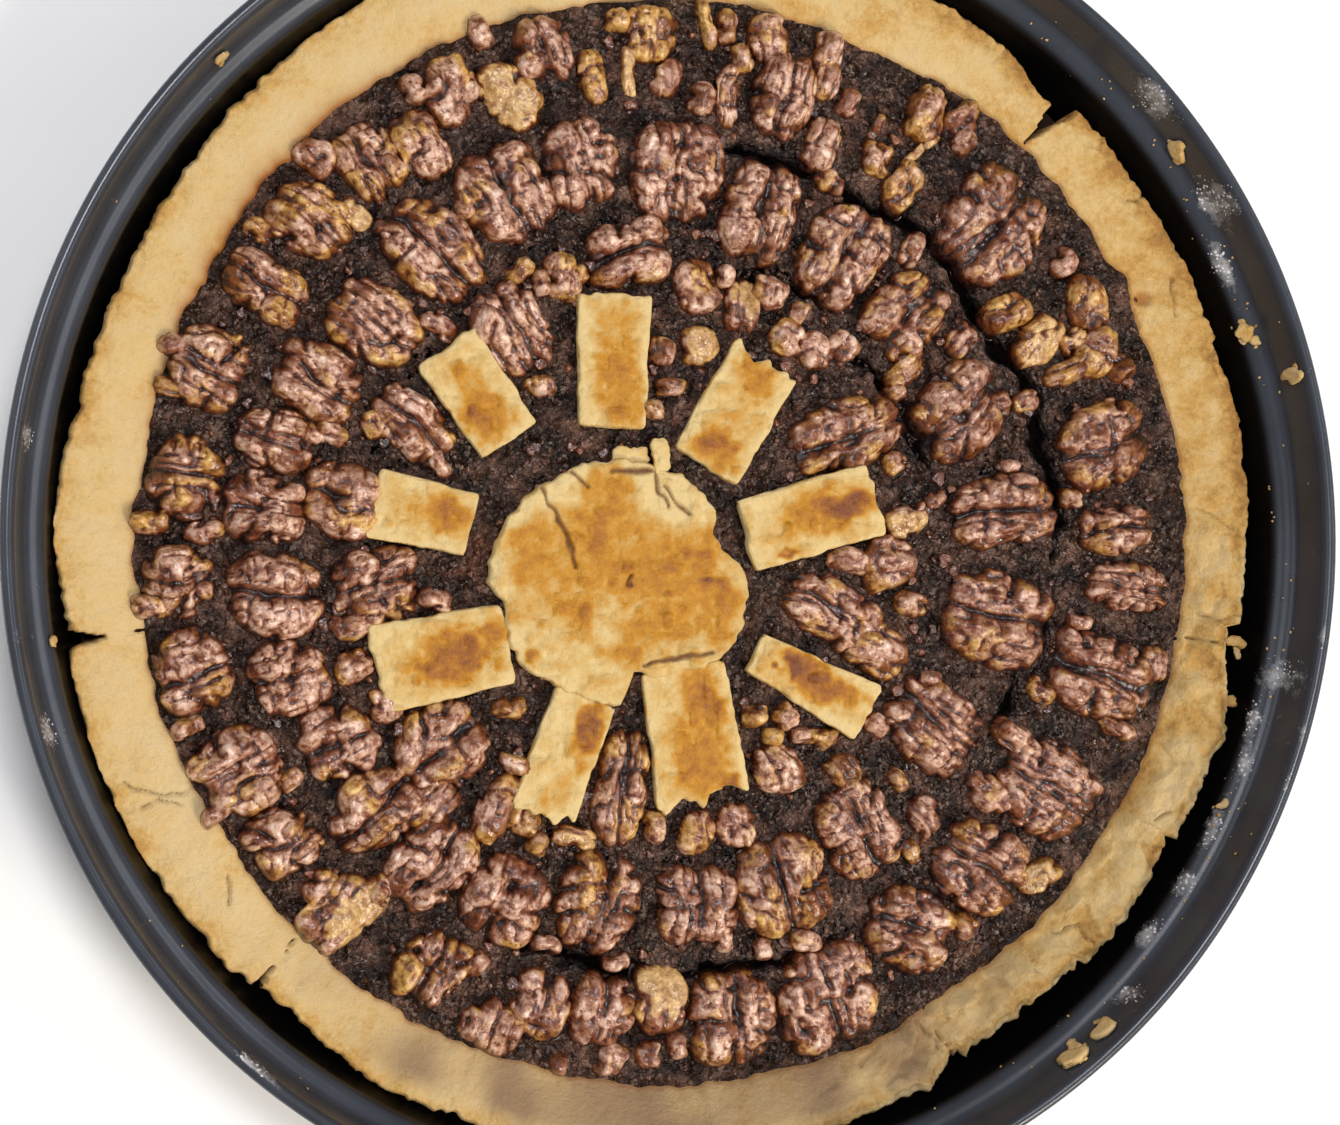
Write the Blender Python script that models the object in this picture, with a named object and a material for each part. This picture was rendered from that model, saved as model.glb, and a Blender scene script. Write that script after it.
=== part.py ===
"""A walnut pie in the round tin that it was baked in.

The tin is a steel sheet with a rolled rim. In it stand a shortcrust case with a
ragged, split edge, a dark nut filling with baked cracks, a sun made of one pastry
disc and nine pastry rays, and the largest of the walnut halves that lie in rings
on the filling. The origin is the middle of the tin's underside, and +Z is up.
The sizes below are in millimetres and angles in degrees, and every mesh is
scaled to metres as it is made.
"""

import math

import bmesh
import bpy
import numpy as np
from mathutils import Vector, noise

MM = 0.001
GAP = 0.3
COLUMNS = 60
SEED = 11

# Tin: radii and heights along the inner side of the sheet
RIM_RADIUS = 172.5
TIN_HEIGHT = 46.0
SHEET = 0.8
ROLL_RADIUS = 1.7
FLOOR_RADIUS = 147.0
FLOOR_CORNER = 8.0
SHOULDER_RADIUS = 161.4
SHOULDER_HEIGHT = 27.0
CREASE_RADIUS = 166.6
CREASE_HEIGHT = 33.6
BEAD_WIDTH = 2.6
BEAD_LOW_RISE = 2.6
BEAD_TOP_RISE = 4.4
ROLL_CLEARANCE = 0.2

# Pastry case
CASE_FLOOR = 4.8
CASE_EDGE_RADIUS = 158.6
CASE_EDGE_HEIGHT = 23.4
CASE_INNER_RADIUS = 141.2
CASE_INNER_HEIGHT = 19.6
CASE_SIDE_GAP = 1.1
CASE_FOOT_INSET = 2.5
CASE_WALL_HEIGHT = 19.0
CASE_CREST_INSET = 3.4
CASE_CREST_RISE = 0.3
CASE_MIDDLE_HEIGHT = 21.9
EDGE_RAGGEDNESS = 1.1
EDGE_BUMPS = 0.9
TOP_BUMPS = 0.8
RAGGEDNESS_SIZE = 14.0
CASE_BUMP_SIZE = 22.0
# Splits of the edge: azimuth, radius of the inner tip, width at the outer side
SPLITS = (
    (48.6, 143.5, 9.0),
    (189.3, 149.5, 5.0),
    (224.8, 151.0, 2.6),
    (297.4, 153.0, 6.0),
    (349.2, 154.0, 8.0),
)
SPLIT_FLOOR = 13.0
SPLIT_OVERSHOOT = 8.0

# Filling
FILLING_EDGE_HEIGHT = 18.4
FILLING_RISE = 2.6
FILLING_BUMPS = 0.35
FILLING_BUMP_SIZE = 30.0
FILLING_LOWER_RADIUS = 137.0
FILLING_SIDE_GAP = 0.6
# Radii of the level loops between the cracks
OUTER_LOOP_RADIUS = 127.0
BETWEEN_LOOP_RADIUS = 86.0
INNER_LOOP_RADIUS = 35.0
CRACK_WIDTH = 2.8
CRACK_DEPTH = 4.0
CRACK_TAPER = 12.0
MAIN_CRACK = {"radius": 103.0, "start": -22.0, "end": 86.0}
LOWER_CRACK = {"radius": 112.5, "start": 244.0, "end": 292.0}
INNER_CRACK = {"radius": 69.0, "start": 14.0, "end": 86.0}

# Sun: the disc, then the nine rays round it
DISC_CENTRE = (-19.6, -11.0)
DISC_HALF_WIDTH = 34.5
DISC_HALF_DEPTH = 31.5
DISC_THICKNESS = 4.0
DISC_RAGGEDNESS = 1.2
DISC_STEP = 9
DISC_TOP_INSET = 0.06
# The disc's right side is broken away: azimuth of the bite, its half width in degrees and its depth
DISC_BITE_AZIMUTH = 23.0
DISC_BITE_WIDTH = 13.0
DISC_BITE_DEPTH = 6.8
RAY_THICKNESS = 3.2
RAY_TOP_INSET = 0.05
RAY_TEAR = (-0.9, 0.3)
SLAB_SIDE_SHARE = 0.7
SLAB_CLEARANCE = 0.55
# Each ray: azimuth and distance of its near end from the disc's centre,
# heading, length, near width, far width
RAYS = (
    (92.5, 39.6, 89.2, 35.2, 17.5, 19.5),
    (128.2, 45.7, 125.2, 28.6, 16.9, 18.4),
    (159.0, 40.8, 167.6, 26.3, 16.1, 18.0),
    (208.0, 32.4, 191.3, 34.5, 20.4, 22.8),
    (253.1, 30.4, 249.6, 31.9, 16.5, 17.3),
    (307.9, 27.2, 279.3, 36.0, 22.2, 25.0),
    (333.3, 40.1, 332.3, 35.8, 10.5, 16.4),
    (19.2, 35.6, 16.1, 38.2, 19.1, 19.4),
    (52.2, 37.7, 60.0, 33.0, 19.4, 19.8),
)

# Walnut halves: azimuth and radius of the middle, length, width, and the turn of
# the length from the radius
OUTER_WALNUTS = (
    (2.0, 119.5, 22, 13, 0),
    (13.0, 118.9, 28, 22, 0),
    (45.5, 119.0, 32, 27, 0),
    (77.5, 119.5, 25, 16, 0),
    (131.5, 126.0, 21, 16, 0),
    (149.8, 125.5, 23, 16, 0),
    (161.0, 130.0, 20, 20, 0),
    (173.6, 129.0, 20, 20, 0),
    (184.8, 131.0, 19, 16, 0),
    (195.0, 131.0, 19, 21, 0),
    (206.8, 129.0, 22, 20, 0),
    (215.5, 129.0, 19, 16, 0),
    (238.0, 128.0, 22, 18, 0),
    (274.8, 125.0, 26, 22, 0),
    (287.3, 125.5, 28, 28, 0),
    (300.2, 119.5, 26, 22, 45),
    (313.0, 118.5, 28, 22, 12),
    (326.2, 119.5, 31, 24, 0),
    (342.4, 120.5, 32, 21, 0),
    (354.3, 124.0, 27, 13, 0),
)
MIDDLE_WALNUTS = (
    (4.8, 87.3, 32, 19, 0),
    (24.2, 82.5, 29, 23, 14),
    (45.2, 84.0, 26, 20, 0),
    (61.2, 85.5, 31, 21, 0),
    (78.2, 87.6, 28, 20, 0),
    (92.3, 95.8, 28, 24, 0),
    (106.4, 101.0, 25, 20, 0),
    (118.9, 101.0, 26, 23, 0),
    (132.8, 99.5, 31, 20, 0),
    (146.6, 98.5, 25, 20, 0),
    (157.8, 104.0, 24, 18, -8),
    (166.9, 109.4, 22, 16, 0),
    (176.0, 109.8, 21, 18, 0),
    (187.4, 107.6, 24, 21, 0),
    (198.5, 109.4, 20, 19, 0),
    (209.2, 104.9, 21, 19, 0),
    (219.5, 106.3, 26, 18, 0),
    (230.7, 106.3, 26, 19, 0),
    (242.0, 103.4, 25, 21, 0),
    (255.1, 96.2, 28, 20, 0),
    (270.6, 94.4, 24, 22, 0),
    (286.0, 93.5, 28, 24, 0),
    (301.3, 88.5, 27, 21, 0),
    (323.8, 82.5, 28, 22, -3),
    (346.8, 87.6, 32, 25, 0),
)
INNER_WALNUTS = (
    (158.2, 78.1, 24, 13, -23),
    (187.8, 82.5, 24, 18, 0),
)
# A walnut half's height is a share of its size, and its length and width are
# drawn in a little so that neighbours stay clear of each other
WALNUT_HEIGHT = 0.28
WALNUT_FIT = 0.94
WALNUT_SIDES = 14
WALNUT_CLEARANCE = 0.5
VALLEY_WIDTH = 0.42
VALLEY_NOTCH = 0.10
PLAN_POWER = 0.8


def clear_scene():
    """Remove the objects that the scene starts with."""
    for item in list(bpy.data.objects):
        bpy.data.objects.remove(item, do_unlink=True)


def material(name, colour, roughness, metallic=0.0):
    """A Principled material of one colour."""
    made = bpy.data.materials.new(name)
    made.use_nodes = True
    shader = made.node_tree.nodes["Principled BSDF"]
    shader.inputs["Base Color"].default_value = (*colour, 1.0)
    shader.inputs["Roughness"].default_value = roughness
    shader.inputs["Metallic"].default_value = metallic
    return made


def add_object(name, mesh_data, finish):
    """Scale a bmesh from millimetres to metres and link it as a named object."""
    bmesh.ops.scale(mesh_data, vec=(MM, MM, MM), verts=mesh_data.verts)
    bmesh.ops.recalc_face_normals(mesh_data, faces=mesh_data.faces)
    mesh = bpy.data.meshes.new(name)
    mesh_data.to_mesh(mesh)
    mesh_data.free()
    mesh.materials.append(finish)
    mesh.shade_smooth()
    mesh.set_sharp_from_angle(angle=math.radians(35))
    made = bpy.data.objects.new(name, mesh)
    bpy.context.collection.objects.link(made)
    return made


def polar(azimuth, radius):
    """The X and Y of a point at an azimuth in degrees and a radius."""
    turn = math.radians(azimuth)
    return radius * math.cos(turn), radius * math.sin(turn)


def soft_noise(x, y, size, layer=0.0):
    """Smooth noise from about -1 to 1, with bumps of the given size."""
    return noise.noise(Vector((x / size, y / size, layer)))


def loft(rings, bottom, top):
    """A closed body from loops of points, with a fan to a point at each end."""
    body = bmesh.new()
    loops = [[body.verts.new(point) for point in ring] for ring in rings]
    ends = (body.verts.new(bottom), body.verts.new(top))
    count = len(loops[0])
    for side in range(count):
        after = (side + 1) % count
        body.faces.new((ends[0], loops[0][after], loops[0][side]))
        body.faces.new((ends[1], loops[-1][side], loops[-1][after]))
        for lower, upper in zip(loops, loops[1:]):
            body.faces.new((lower[side], lower[after], upper[after], upper[side]))
    return body


# ------------------------------------------------------------------ the tin


def arc(centre, radius, start, end, steps):
    """Points of an arc in the R-Z plane, from one angle to another."""
    angles = np.radians(np.linspace(start, end, steps + 1))
    return [(centre[0] + radius * math.cos(a), centre[1] + radius * math.sin(a)) for a in angles]


def lower_wall_radius(height):
    """The tin's inner radius at a height between its floor and its shoulder."""
    low = (FLOOR_RADIUS + FLOOR_CORNER, SHEET + FLOOR_CORNER)
    share = (height - low[1]) / (SHOULDER_HEIGHT - low[1])
    return low[0] + share * (SHOULDER_RADIUS - low[0])


def inner_path():
    """The inner side of the sheet, from the middle of the floor up to the rim."""
    floor = [(0.0, SHEET)]
    floor += arc((FLOOR_RADIUS, SHEET + FLOOR_CORNER), FLOOR_CORNER, -90, 0, 2)
    shoulder = [
        (SHOULDER_RADIUS, SHOULDER_HEIGHT),
        (SHOULDER_RADIUS + BEAD_WIDTH / 3, SHOULDER_HEIGHT + BEAD_LOW_RISE),
        (SHOULDER_RADIUS + BEAD_WIDTH, SHOULDER_HEIGHT + BEAD_TOP_RISE),
        (CREASE_RADIUS, CREASE_HEIGHT),
    ]
    under_roll = (RIM_RADIUS - 2 * ROLL_RADIUS - ROLL_CLEARANCE, TIN_HEIGHT - ROLL_RADIUS)
    return floor + shoulder + [under_roll]


def outer_path():
    """The outer side of the sheet, from under the rim down to the underside."""
    shoulder = [
        (CREASE_RADIUS + SHEET, CREASE_HEIGHT - 0.4),
        (SHOULDER_RADIUS + BEAD_WIDTH + SHEET, SHOULDER_HEIGHT + BEAD_TOP_RISE - 1.0),
        (SHOULDER_RADIUS + SHEET, SHOULDER_HEIGHT),
    ]
    corner = arc((FLOOR_RADIUS, SHEET + FLOOR_CORNER), FLOOR_CORNER + SHEET, 0, -90, 2)
    return shoulder + corner + [(0.0, 0.0)]


def build_tin(finish):
    """The tin: its profile turned about Z, with a rolled rim."""
    roll = arc((RIM_RADIUS - ROLL_RADIUS, TIN_HEIGHT - ROLL_RADIUS), ROLL_RADIUS, 180, -90, 6)
    profile = inner_path() + roll[1:] + outer_path()
    body = bmesh.new()
    points = [body.verts.new((radius, 0.0, height)) for radius, height in profile]
    edges = [body.edges.new(pair) for pair in zip(points, points[1:])]
    bmesh.ops.spin(
        body,
        geom=points + edges,
        axis=(0, 0, 1),
        cent=(0, 0, 0),
        angle=math.tau,
        steps=COLUMNS,
    )
    bmesh.ops.remove_doubles(body, verts=body.verts, dist=0.001)
    return add_object("tin", body, finish)


# ------------------------------------------------- the case and the filling


def azimuths():
    """The azimuths of the columns that the tin, case and filling share."""
    return [360.0 * column / COLUMNS for column in range(COLUMNS)]


def case_ring(radius, height, raggedness=0.0, bumps=0.0):
    """A loop of the case, uneven in radius and in height."""
    ring = []
    for azimuth in azimuths():
        x, y = polar(azimuth, radius)
        wide = radius + raggedness * soft_noise(x, y, RAGGEDNESS_SIZE, 2.0)
        high = height + bumps * soft_noise(x, y, CASE_BUMP_SIZE, 5.0)
        ring.append((*polar(azimuth, wide), high))
    return ring


def build_splits():
    """Wedges that widen outwards, which open the case's edge where it split."""
    body = bmesh.new()
    outer = CASE_EDGE_RADIUS + SPLIT_OVERSHOOT
    for azimuth, tip, width in SPLITS:
        spread = math.degrees(width / 2 / CASE_EDGE_RADIUS)
        corners = [polar(azimuth, tip), polar(azimuth - spread, outer), polar(azimuth + spread, outer)]
        face = body.faces.new([body.verts.new((x, y, SPLIT_FLOOR)) for x, y in corners])
        raised = bmesh.ops.extrude_face_region(body, geom=[face])["geom"]
        tops = [item for item in raised if isinstance(item, bmesh.types.BMVert)]
        bmesh.ops.translate(body, vec=(0, 0, TIN_HEIGHT - SPLIT_FLOOR), verts=tops)
    cutter = add_object("pastry_splits", body, material("cutter", (1.0, 0.0, 0.0), 0.5))
    cutter.hide_render = True
    cutter.display_type = "WIRE"
    return cutter


def build_case(finish):
    """The pastry case: a floor and a leaning wall with a ragged, split edge."""
    bottom = SHEET + GAP
    foot = lower_wall_radius(SHEET + FLOOR_CORNER) - CASE_FOOT_INSET
    wall = lower_wall_radius(CASE_WALL_HEIGHT) - CASE_SIDE_GAP
    crest = CASE_EDGE_RADIUS - CASE_CREST_INSET
    crest_height = CASE_EDGE_HEIGHT + CASE_CREST_RISE
    rings = [
        case_ring(FLOOR_RADIUS - 3.0, bottom),
        case_ring(foot, SHEET + FLOOR_CORNER),
        case_ring(wall, CASE_WALL_HEIGHT),
        case_ring(CASE_EDGE_RADIUS, CASE_EDGE_HEIGHT, EDGE_RAGGEDNESS, EDGE_BUMPS),
        case_ring(crest, crest_height, EDGE_RAGGEDNESS, EDGE_BUMPS),
        case_ring((CASE_EDGE_RADIUS + CASE_INNER_RADIUS) / 2, CASE_MIDDLE_HEIGHT, 0.0, TOP_BUMPS),
        case_ring(CASE_INNER_RADIUS, CASE_INNER_HEIGHT),
        case_ring(FILLING_LOWER_RADIUS + GAP + 0.2, CASE_FLOOR + bottom),
    ]
    body = loft(rings, (0, 0, bottom), (0, 0, CASE_FLOOR + bottom))
    case = add_object("pastry_case", body, finish)
    cut = case.modifiers.new("splits", "BOOLEAN")
    cut.operation = "DIFFERENCE"
    cut.solver = "EXACT"
    cut.object = build_splits()
    return case


def filling_height(x, y):
    """The filling's top, a little higher in the middle and gently uneven."""
    share = min(math.hypot(x, y) / CASE_INNER_RADIUS, 1.0)
    fade = 1.0 - share**6
    bumps = FILLING_BUMPS * fade * soft_noise(x, y, FILLING_BUMP_SIZE, 9.0)
    return FILLING_EDGE_HEIGHT + FILLING_RISE * (1.0 - share**3) + bumps


def crack_share(crack, azimuth):
    """How open a crack is at an azimuth: 1 in its middle, 0 past its ends."""
    along = (azimuth - crack["start"]) % 360.0
    length = crack["end"] - crack["start"]
    return max(0.0, min(1.0, along / CRACK_TAPER, (length - along) / CRACK_TAPER))


def outer_crack_radius(azimuth):
    """The radius of the ring that holds the main and the lower crack."""
    toward_lower = 0.5 - 0.5 * math.cos(math.radians(azimuth - 88.0))
    spread = LOWER_CRACK["radius"] - MAIN_CRACK["radius"]
    return MAIN_CRACK["radius"] + spread * toward_lower**2


def filling_ring(radius_at, depth_at):
    """A loop on the filling's top, lowered where a crack runs."""
    ring = []
    for azimuth in azimuths():
        x, y = polar(azimuth, radius_at(azimuth))
        ring.append((x, y, filling_height(x, y) - depth_at(azimuth)))
    return ring


def crack_rings(radius_at, share_at):
    """Three loops that make a crack: its outer lip, its floor and its inner lip."""
    half = CRACK_WIDTH / 2
    return [
        filling_ring(lambda a: radius_at(a) + half, lambda a: 0.0),
        filling_ring(radius_at, lambda a: CRACK_DEPTH * share_at(a)),
        filling_ring(lambda a: radius_at(a) - half, lambda a: 0.0),
    ]


def build_filling(finish):
    """The filling: solid down to the pastry floor, with arcs of cracks on top."""
    floor = SHEET + 2 * GAP + CASE_FLOOR
    side_radius = CASE_INNER_RADIUS - FILLING_SIDE_GAP
    rings = [case_ring(FILLING_LOWER_RADIUS - 0.2, floor)]
    rings.append(filling_ring(lambda a: side_radius, lambda a: 0.0))
    rings.append(filling_ring(lambda a: OUTER_LOOP_RADIUS, lambda a: 0.0))
    rings += crack_rings(
        outer_crack_radius,
        lambda a: max(crack_share(MAIN_CRACK, a), crack_share(LOWER_CRACK, a)),
    )
    rings.append(filling_ring(lambda a: BETWEEN_LOOP_RADIUS, lambda a: 0.0))
    rings += crack_rings(lambda a: INNER_CRACK["radius"], lambda a: crack_share(INNER_CRACK, a))
    rings.append(filling_ring(lambda a: INNER_LOOP_RADIUS, lambda a: 0.0))
    body = loft(rings, (0, 0, floor), (0, 0, filling_height(0, 0)))
    return add_object("filling", body, finish)


# ------------------------------------------------------------------ the sun


def ray_frame(ray):
    """A ray's near middle point and its heading in radians."""
    azimuth, distance, heading = ray[:3]
    x, y = polar(azimuth, distance)
    return DISC_CENTRE[0] + x, DISC_CENTRE[1] + y, math.radians(heading)


def slab(outline, base, thickness, edge, middle):
    """A pastry slab: an outline with a slightly rounded top edge."""
    centre = np.array(middle)
    inset = [centre + (np.array(point) - centre) * (1.0 - edge) for point in outline]
    rings = [
        [(x, y, base) for x, y in outline],
        [(x, y, base + SLAB_SIDE_SHARE * thickness) for x, y in outline],
        [(x, y, base + thickness) for x, y in inset],
    ]
    return loft(rings, (*middle, base), (*middle, base + thickness))


def resting_height(outline):
    """The lowest level at which a flat underside clears the filling."""
    inside = [(x * f, y * f) for x, y in outline for f in (1.0, 0.97)]
    return max(filling_height(x, y) for x, y in outline + inside) + SLAB_CLEARANCE


def ray_outline(ray, random):
    """A ray's outline: straight sides and an uneven far end."""
    x, y, heading = ray_frame(ray)
    length, near, far = ray[3:]
    along = [0.0, 0.0, 0.0, 0.33, 0.67, 1.0, 1.0, 1.0, 1.0, 1.0, 0.67, 0.33]
    across = [0.5, 0.0, -0.5, -0.5, -0.5, -0.5, -0.25, 0.0, 0.25, 0.5, 0.5, 0.5]
    outline = []
    for share, side in zip(along, across):
        tear = random.uniform(*RAY_TEAR) if share == 1.0 else 0.0
        width = near + share * (far - near)
        u = share * length + tear
        v = side * width
        outline.append((
            x + u * math.cos(heading) - v * math.sin(heading),
            y + u * math.sin(heading) + v * math.cos(heading),
        ))
    return outline


def build_rays(finish):
    """Nine slabs of pastry laid out as the sun's rays."""
    random = np.random.default_rng(SEED)
    for number, ray in enumerate(RAYS, 1):
        outline = ray_outline(ray, random)
        x, y, heading = ray_frame(ray)
        middle = (x + ray[3] / 2 * math.cos(heading), y + ray[3] / 2 * math.sin(heading))
        body = slab(outline, resting_height(outline), RAY_THICKNESS, RAY_TOP_INSET, middle)
        add_object(f"sun_ray_{number}", body, finish)


def clear_of_rays(azimuth, radius):
    """The disc's radius at an azimuth, cut back where the end of a ray stands."""
    for ray in RAYS:
        x, y, heading = ray_frame(ray)
        toward = math.radians(azimuth)
        rise = math.cos(toward - heading)
        if rise <= 0.2:
            continue
        gap_line = (x - DISC_CENTRE[0]) * math.cos(heading) + (y - DISC_CENTRE[1]) * math.sin(heading)
        reach = (gap_line - 2 * GAP) / rise
        side = reach * math.sin(toward - heading)
        offset = (y - DISC_CENTRE[1]) * math.cos(heading) - (x - DISC_CENTRE[0]) * math.sin(heading)
        if abs(side - offset) < ray[4] / 2 + 3.0:
            radius = min(radius, reach)
    return radius


def build_disc(finish):
    """The sun's disc: a rough oval of pastry with a raised, crumbled edge."""
    outline = []
    for azimuth in range(0, 360, DISC_STEP):
        turn = math.radians(azimuth)
        oval = 1.0 / math.hypot(math.cos(turn) / DISC_HALF_WIDTH, math.sin(turn) / DISC_HALF_DEPTH)
        away = ((azimuth - DISC_BITE_AZIMUTH + 180.0) % 360.0 - 180.0) / DISC_BITE_WIDTH
        rough = oval + DISC_RAGGEDNESS * soft_noise(*polar(azimuth, 30.0), 7.0, 4.0)
        rough -= DISC_BITE_DEPTH * math.exp(-(away**2))
        x, y = polar(azimuth, clear_of_rays(azimuth, rough))
        outline.append((DISC_CENTRE[0] + x, DISC_CENTRE[1] + y))
    body = slab(outline, resting_height(outline), DISC_THICKNESS, DISC_TOP_INSET, DISC_CENTRE)
    add_object("sun_disc", body, finish)


# -------------------------------------------------------------- the walnuts


def walnut_ring(random, length, width, share, level, groove):
    """A loop round a walnut half: two lobes with a dip where they meet."""
    ring = []
    for side in range(WALNUT_SIDES):
        turn = math.tau * side / WALNUT_SIDES
        valley = math.exp(-((math.sin(turn) / VALLEY_WIDTH) ** 2))
        wobble = share * (1.0 + random.uniform(-0.07, 0.02) - VALLEY_NOTCH * valley)
        along = math.copysign(abs(math.cos(turn)) ** PLAN_POWER, math.cos(turn))
        across = math.copysign(abs(math.sin(turn)) ** PLAN_POWER, math.sin(turn))
        high = level * (1.0 - groove * valley) * random.uniform(0.92, 1.0)
        ring.append((0.5 * length * wobble * along, 0.5 * width * wobble * across, high))
    return ring


def build_walnut(name, random, place, finish):
    """A walnut half with its flat side down on the filling."""
    azimuth, radius, length, width, twist = place
    length *= WALNUT_FIT
    width *= WALNUT_FIT
    height = WALNUT_HEIGHT * min(length, 1.25 * width)
    rings = [
        walnut_ring(random, length, width, 0.96, 0.0, 0.0),
        walnut_ring(random, length, width, 1.0, 0.5 * height, 0.1),
        walnut_ring(random, length, width, 0.62, height, 0.3),
    ]
    body = loft(rings, (0, 0, 0), (0, 0, 0.68 * height))
    x, y = polar(azimuth, radius)
    turn = math.radians(azimuth + twist)
    reach = [(u, v) for u in (-0.5, 0.0, 0.5) for v in (-0.5, 0.0, 0.5)]
    under = [
        filling_height(
            x + u * length * math.cos(turn) - v * width * math.sin(turn),
            y + u * length * math.sin(turn) + v * width * math.cos(turn),
        )
        for u, v in reach
    ]
    made = add_object(name, body, finish)
    made.location = (x * MM, y * MM, (max(under) + WALNUT_CLEARANCE) * MM)
    made.rotation_euler = (0.0, 0.0, turn)
    return made


def build_walnuts(finish):
    """The large walnut halves, ring by ring."""
    random = np.random.default_rng(SEED + 1)
    groups = {"outer": OUTER_WALNUTS, "middle": MIDDLE_WALNUTS, "inner": INNER_WALNUTS}
    for group, places in groups.items():
        for number, place in enumerate(places, 1):
            build_walnut(f"walnut_{group}_{number:02d}", random, place, finish)


def main():
    """Build every piece of the pie."""
    clear_scene()
    enamel = material("black enamelled steel", (0.012, 0.012, 0.014), 0.35)
    pastry = material("baked shortcrust", (0.70, 0.46, 0.19), 0.7)
    browned = material("browned shortcrust", (0.66, 0.37, 0.09), 0.6)
    filling = material("walnut filling", (0.045, 0.022, 0.014), 0.45)
    walnut = material("walnut", (0.22, 0.10, 0.055), 0.4)
    build_tin(enamel)
    build_case(pastry)
    build_filling(filling)
    build_disc(browned)
    build_rays(browned)
    build_walnuts(walnut)


main()
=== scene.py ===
import math

import bpy
import numpy as np
from bpy.props import FloatProperty, FloatVectorProperty, IntProperty, PointerProperty
from mathutils import Matrix, Vector


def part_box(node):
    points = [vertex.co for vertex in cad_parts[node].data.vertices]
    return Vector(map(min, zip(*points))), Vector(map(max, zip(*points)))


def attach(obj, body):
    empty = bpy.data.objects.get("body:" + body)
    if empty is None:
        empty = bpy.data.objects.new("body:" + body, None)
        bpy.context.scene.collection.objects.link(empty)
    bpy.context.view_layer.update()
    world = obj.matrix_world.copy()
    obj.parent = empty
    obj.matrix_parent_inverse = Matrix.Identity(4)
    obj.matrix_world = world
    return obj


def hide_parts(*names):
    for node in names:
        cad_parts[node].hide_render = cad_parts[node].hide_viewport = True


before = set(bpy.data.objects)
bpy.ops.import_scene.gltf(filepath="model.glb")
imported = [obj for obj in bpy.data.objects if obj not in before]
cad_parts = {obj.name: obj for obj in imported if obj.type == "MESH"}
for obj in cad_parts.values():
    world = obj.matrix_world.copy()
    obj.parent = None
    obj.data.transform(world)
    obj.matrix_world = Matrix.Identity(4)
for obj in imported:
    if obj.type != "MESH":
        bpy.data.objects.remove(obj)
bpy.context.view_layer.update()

bl_info = {
    "name": "Walnut Pie in a Tin",
    "version": (1, 0, 0),
    "blender": (4, 5, 0),
    "location": "View3D > Sidebar > Walnut Pie",
    "description": "Makes the finished surfaces of a walnut pie in its baking tin",
    "category": "Object",
}

MM = 0.001

# Sizes that the frame's solids share, in millimetres
RIM_RADIUS, TIN_HEIGHT, SHEET, ROLL_RADIUS = 172.5, 46.0, 0.8, 1.7
FLOOR_RADIUS, FLOOR_CORNER = 147.0, 8.0
# Inner side of the tin's wall as radius and height: its shoulder and bead, then where the rim starts to roll
SHOULDER = ((161.4, 27.0), (161.9, 29.4), (163.0, 31.3), (164.6, 32.4), (166.2, 32.9), (167.0, 33.9))
WALL_TOP = (RIM_RADIUS - 2 * ROLL_RADIUS - 0.2, TIN_HEIGHT - ROLL_RADIUS)
INNER_WALL = ((FLOOR_RADIUS + FLOOR_CORNER, SHEET + FLOOR_CORNER), *SHOULDER, WALL_TOP)
# What the pastry and the flakes keep clear of the wall
WALL_GAP = 0.33
# The pastry case's outer edge and lip, and the filling's level and reach
CASE_EDGE_RADIUS, CASE_INNER_RADIUS = 158.6, 141.2
FILLING_EDGE_HEIGHT, FILLING_RISE = 18.4, 2.6
FILLING_REACH, FILLING_JOIN, FILLING_UNDERSIDE = 143.6, 86.0, 7.0
DISC_CENTRE = (-19.6, -11.0)
DISC_THICKNESS, RAY_THICKNESS = 4.0, 3.2
# A walnut solid's share of the nut's full length and width, and the slope of a break
WALNUT_FIT, BREAK_SLOPE = 0.85, 0.35
# Splits of the crust's edge: azimuth, radius of the inner tip, width at the outer side
SPLITS = (
    (48.6, 143.5, 7.0), (189.3, 149.5, 4.0), (224.8, 151.0, 2.0), (297.4, 153.0, 5.0), (349.2, 154.0, 6.0),
)
# How finely the large surfaces are divided
TIN_COLUMNS, CRUST_COLUMNS, CRUST_ROWS, FILLING_GRID, FILLING_ROWS = 400, 1400, 40, 291, 82
DISC_POINTS, DISC_LOOPS, RAY_POINTS = 420, 25, 150


# ------------------------------------------------------------------ numbers


def linear(code):
    """An sRGB hex colour as linear red, green, blue and alpha."""
    parts = [int(code[place:place + 2], 16) / 255 for place in (1, 3, 5)]
    return tuple(p / 12.92 if p <= 0.04045 else ((p + 0.055) / 1.055) ** 2.4 for p in parts) + (1.0,)


def smooth_step(low, high, value):
    """0 below low, 1 above high and a smooth cubic between."""
    share = np.clip((value - low) / (high - low), 0.0, 1.0)
    return share * share * (3.0 - 2.0 * share)


def lattice(column, row, seed):
    """A fixed random number from 0 to 1 at each whole point: the point's numbers, mixed as 32 bits."""
    mixed = (column * 374761393 + row * 668265263 + seed * 974634777) & 0xFFFFFFFF
    mixed = ((mixed ^ (mixed >> 13)) * 1274126177) & 0xFFFFFFFF
    mixed = mixed ^ (mixed >> 16)
    return (mixed & 0xFFFFFF) / float(0xFFFFFF)


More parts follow.
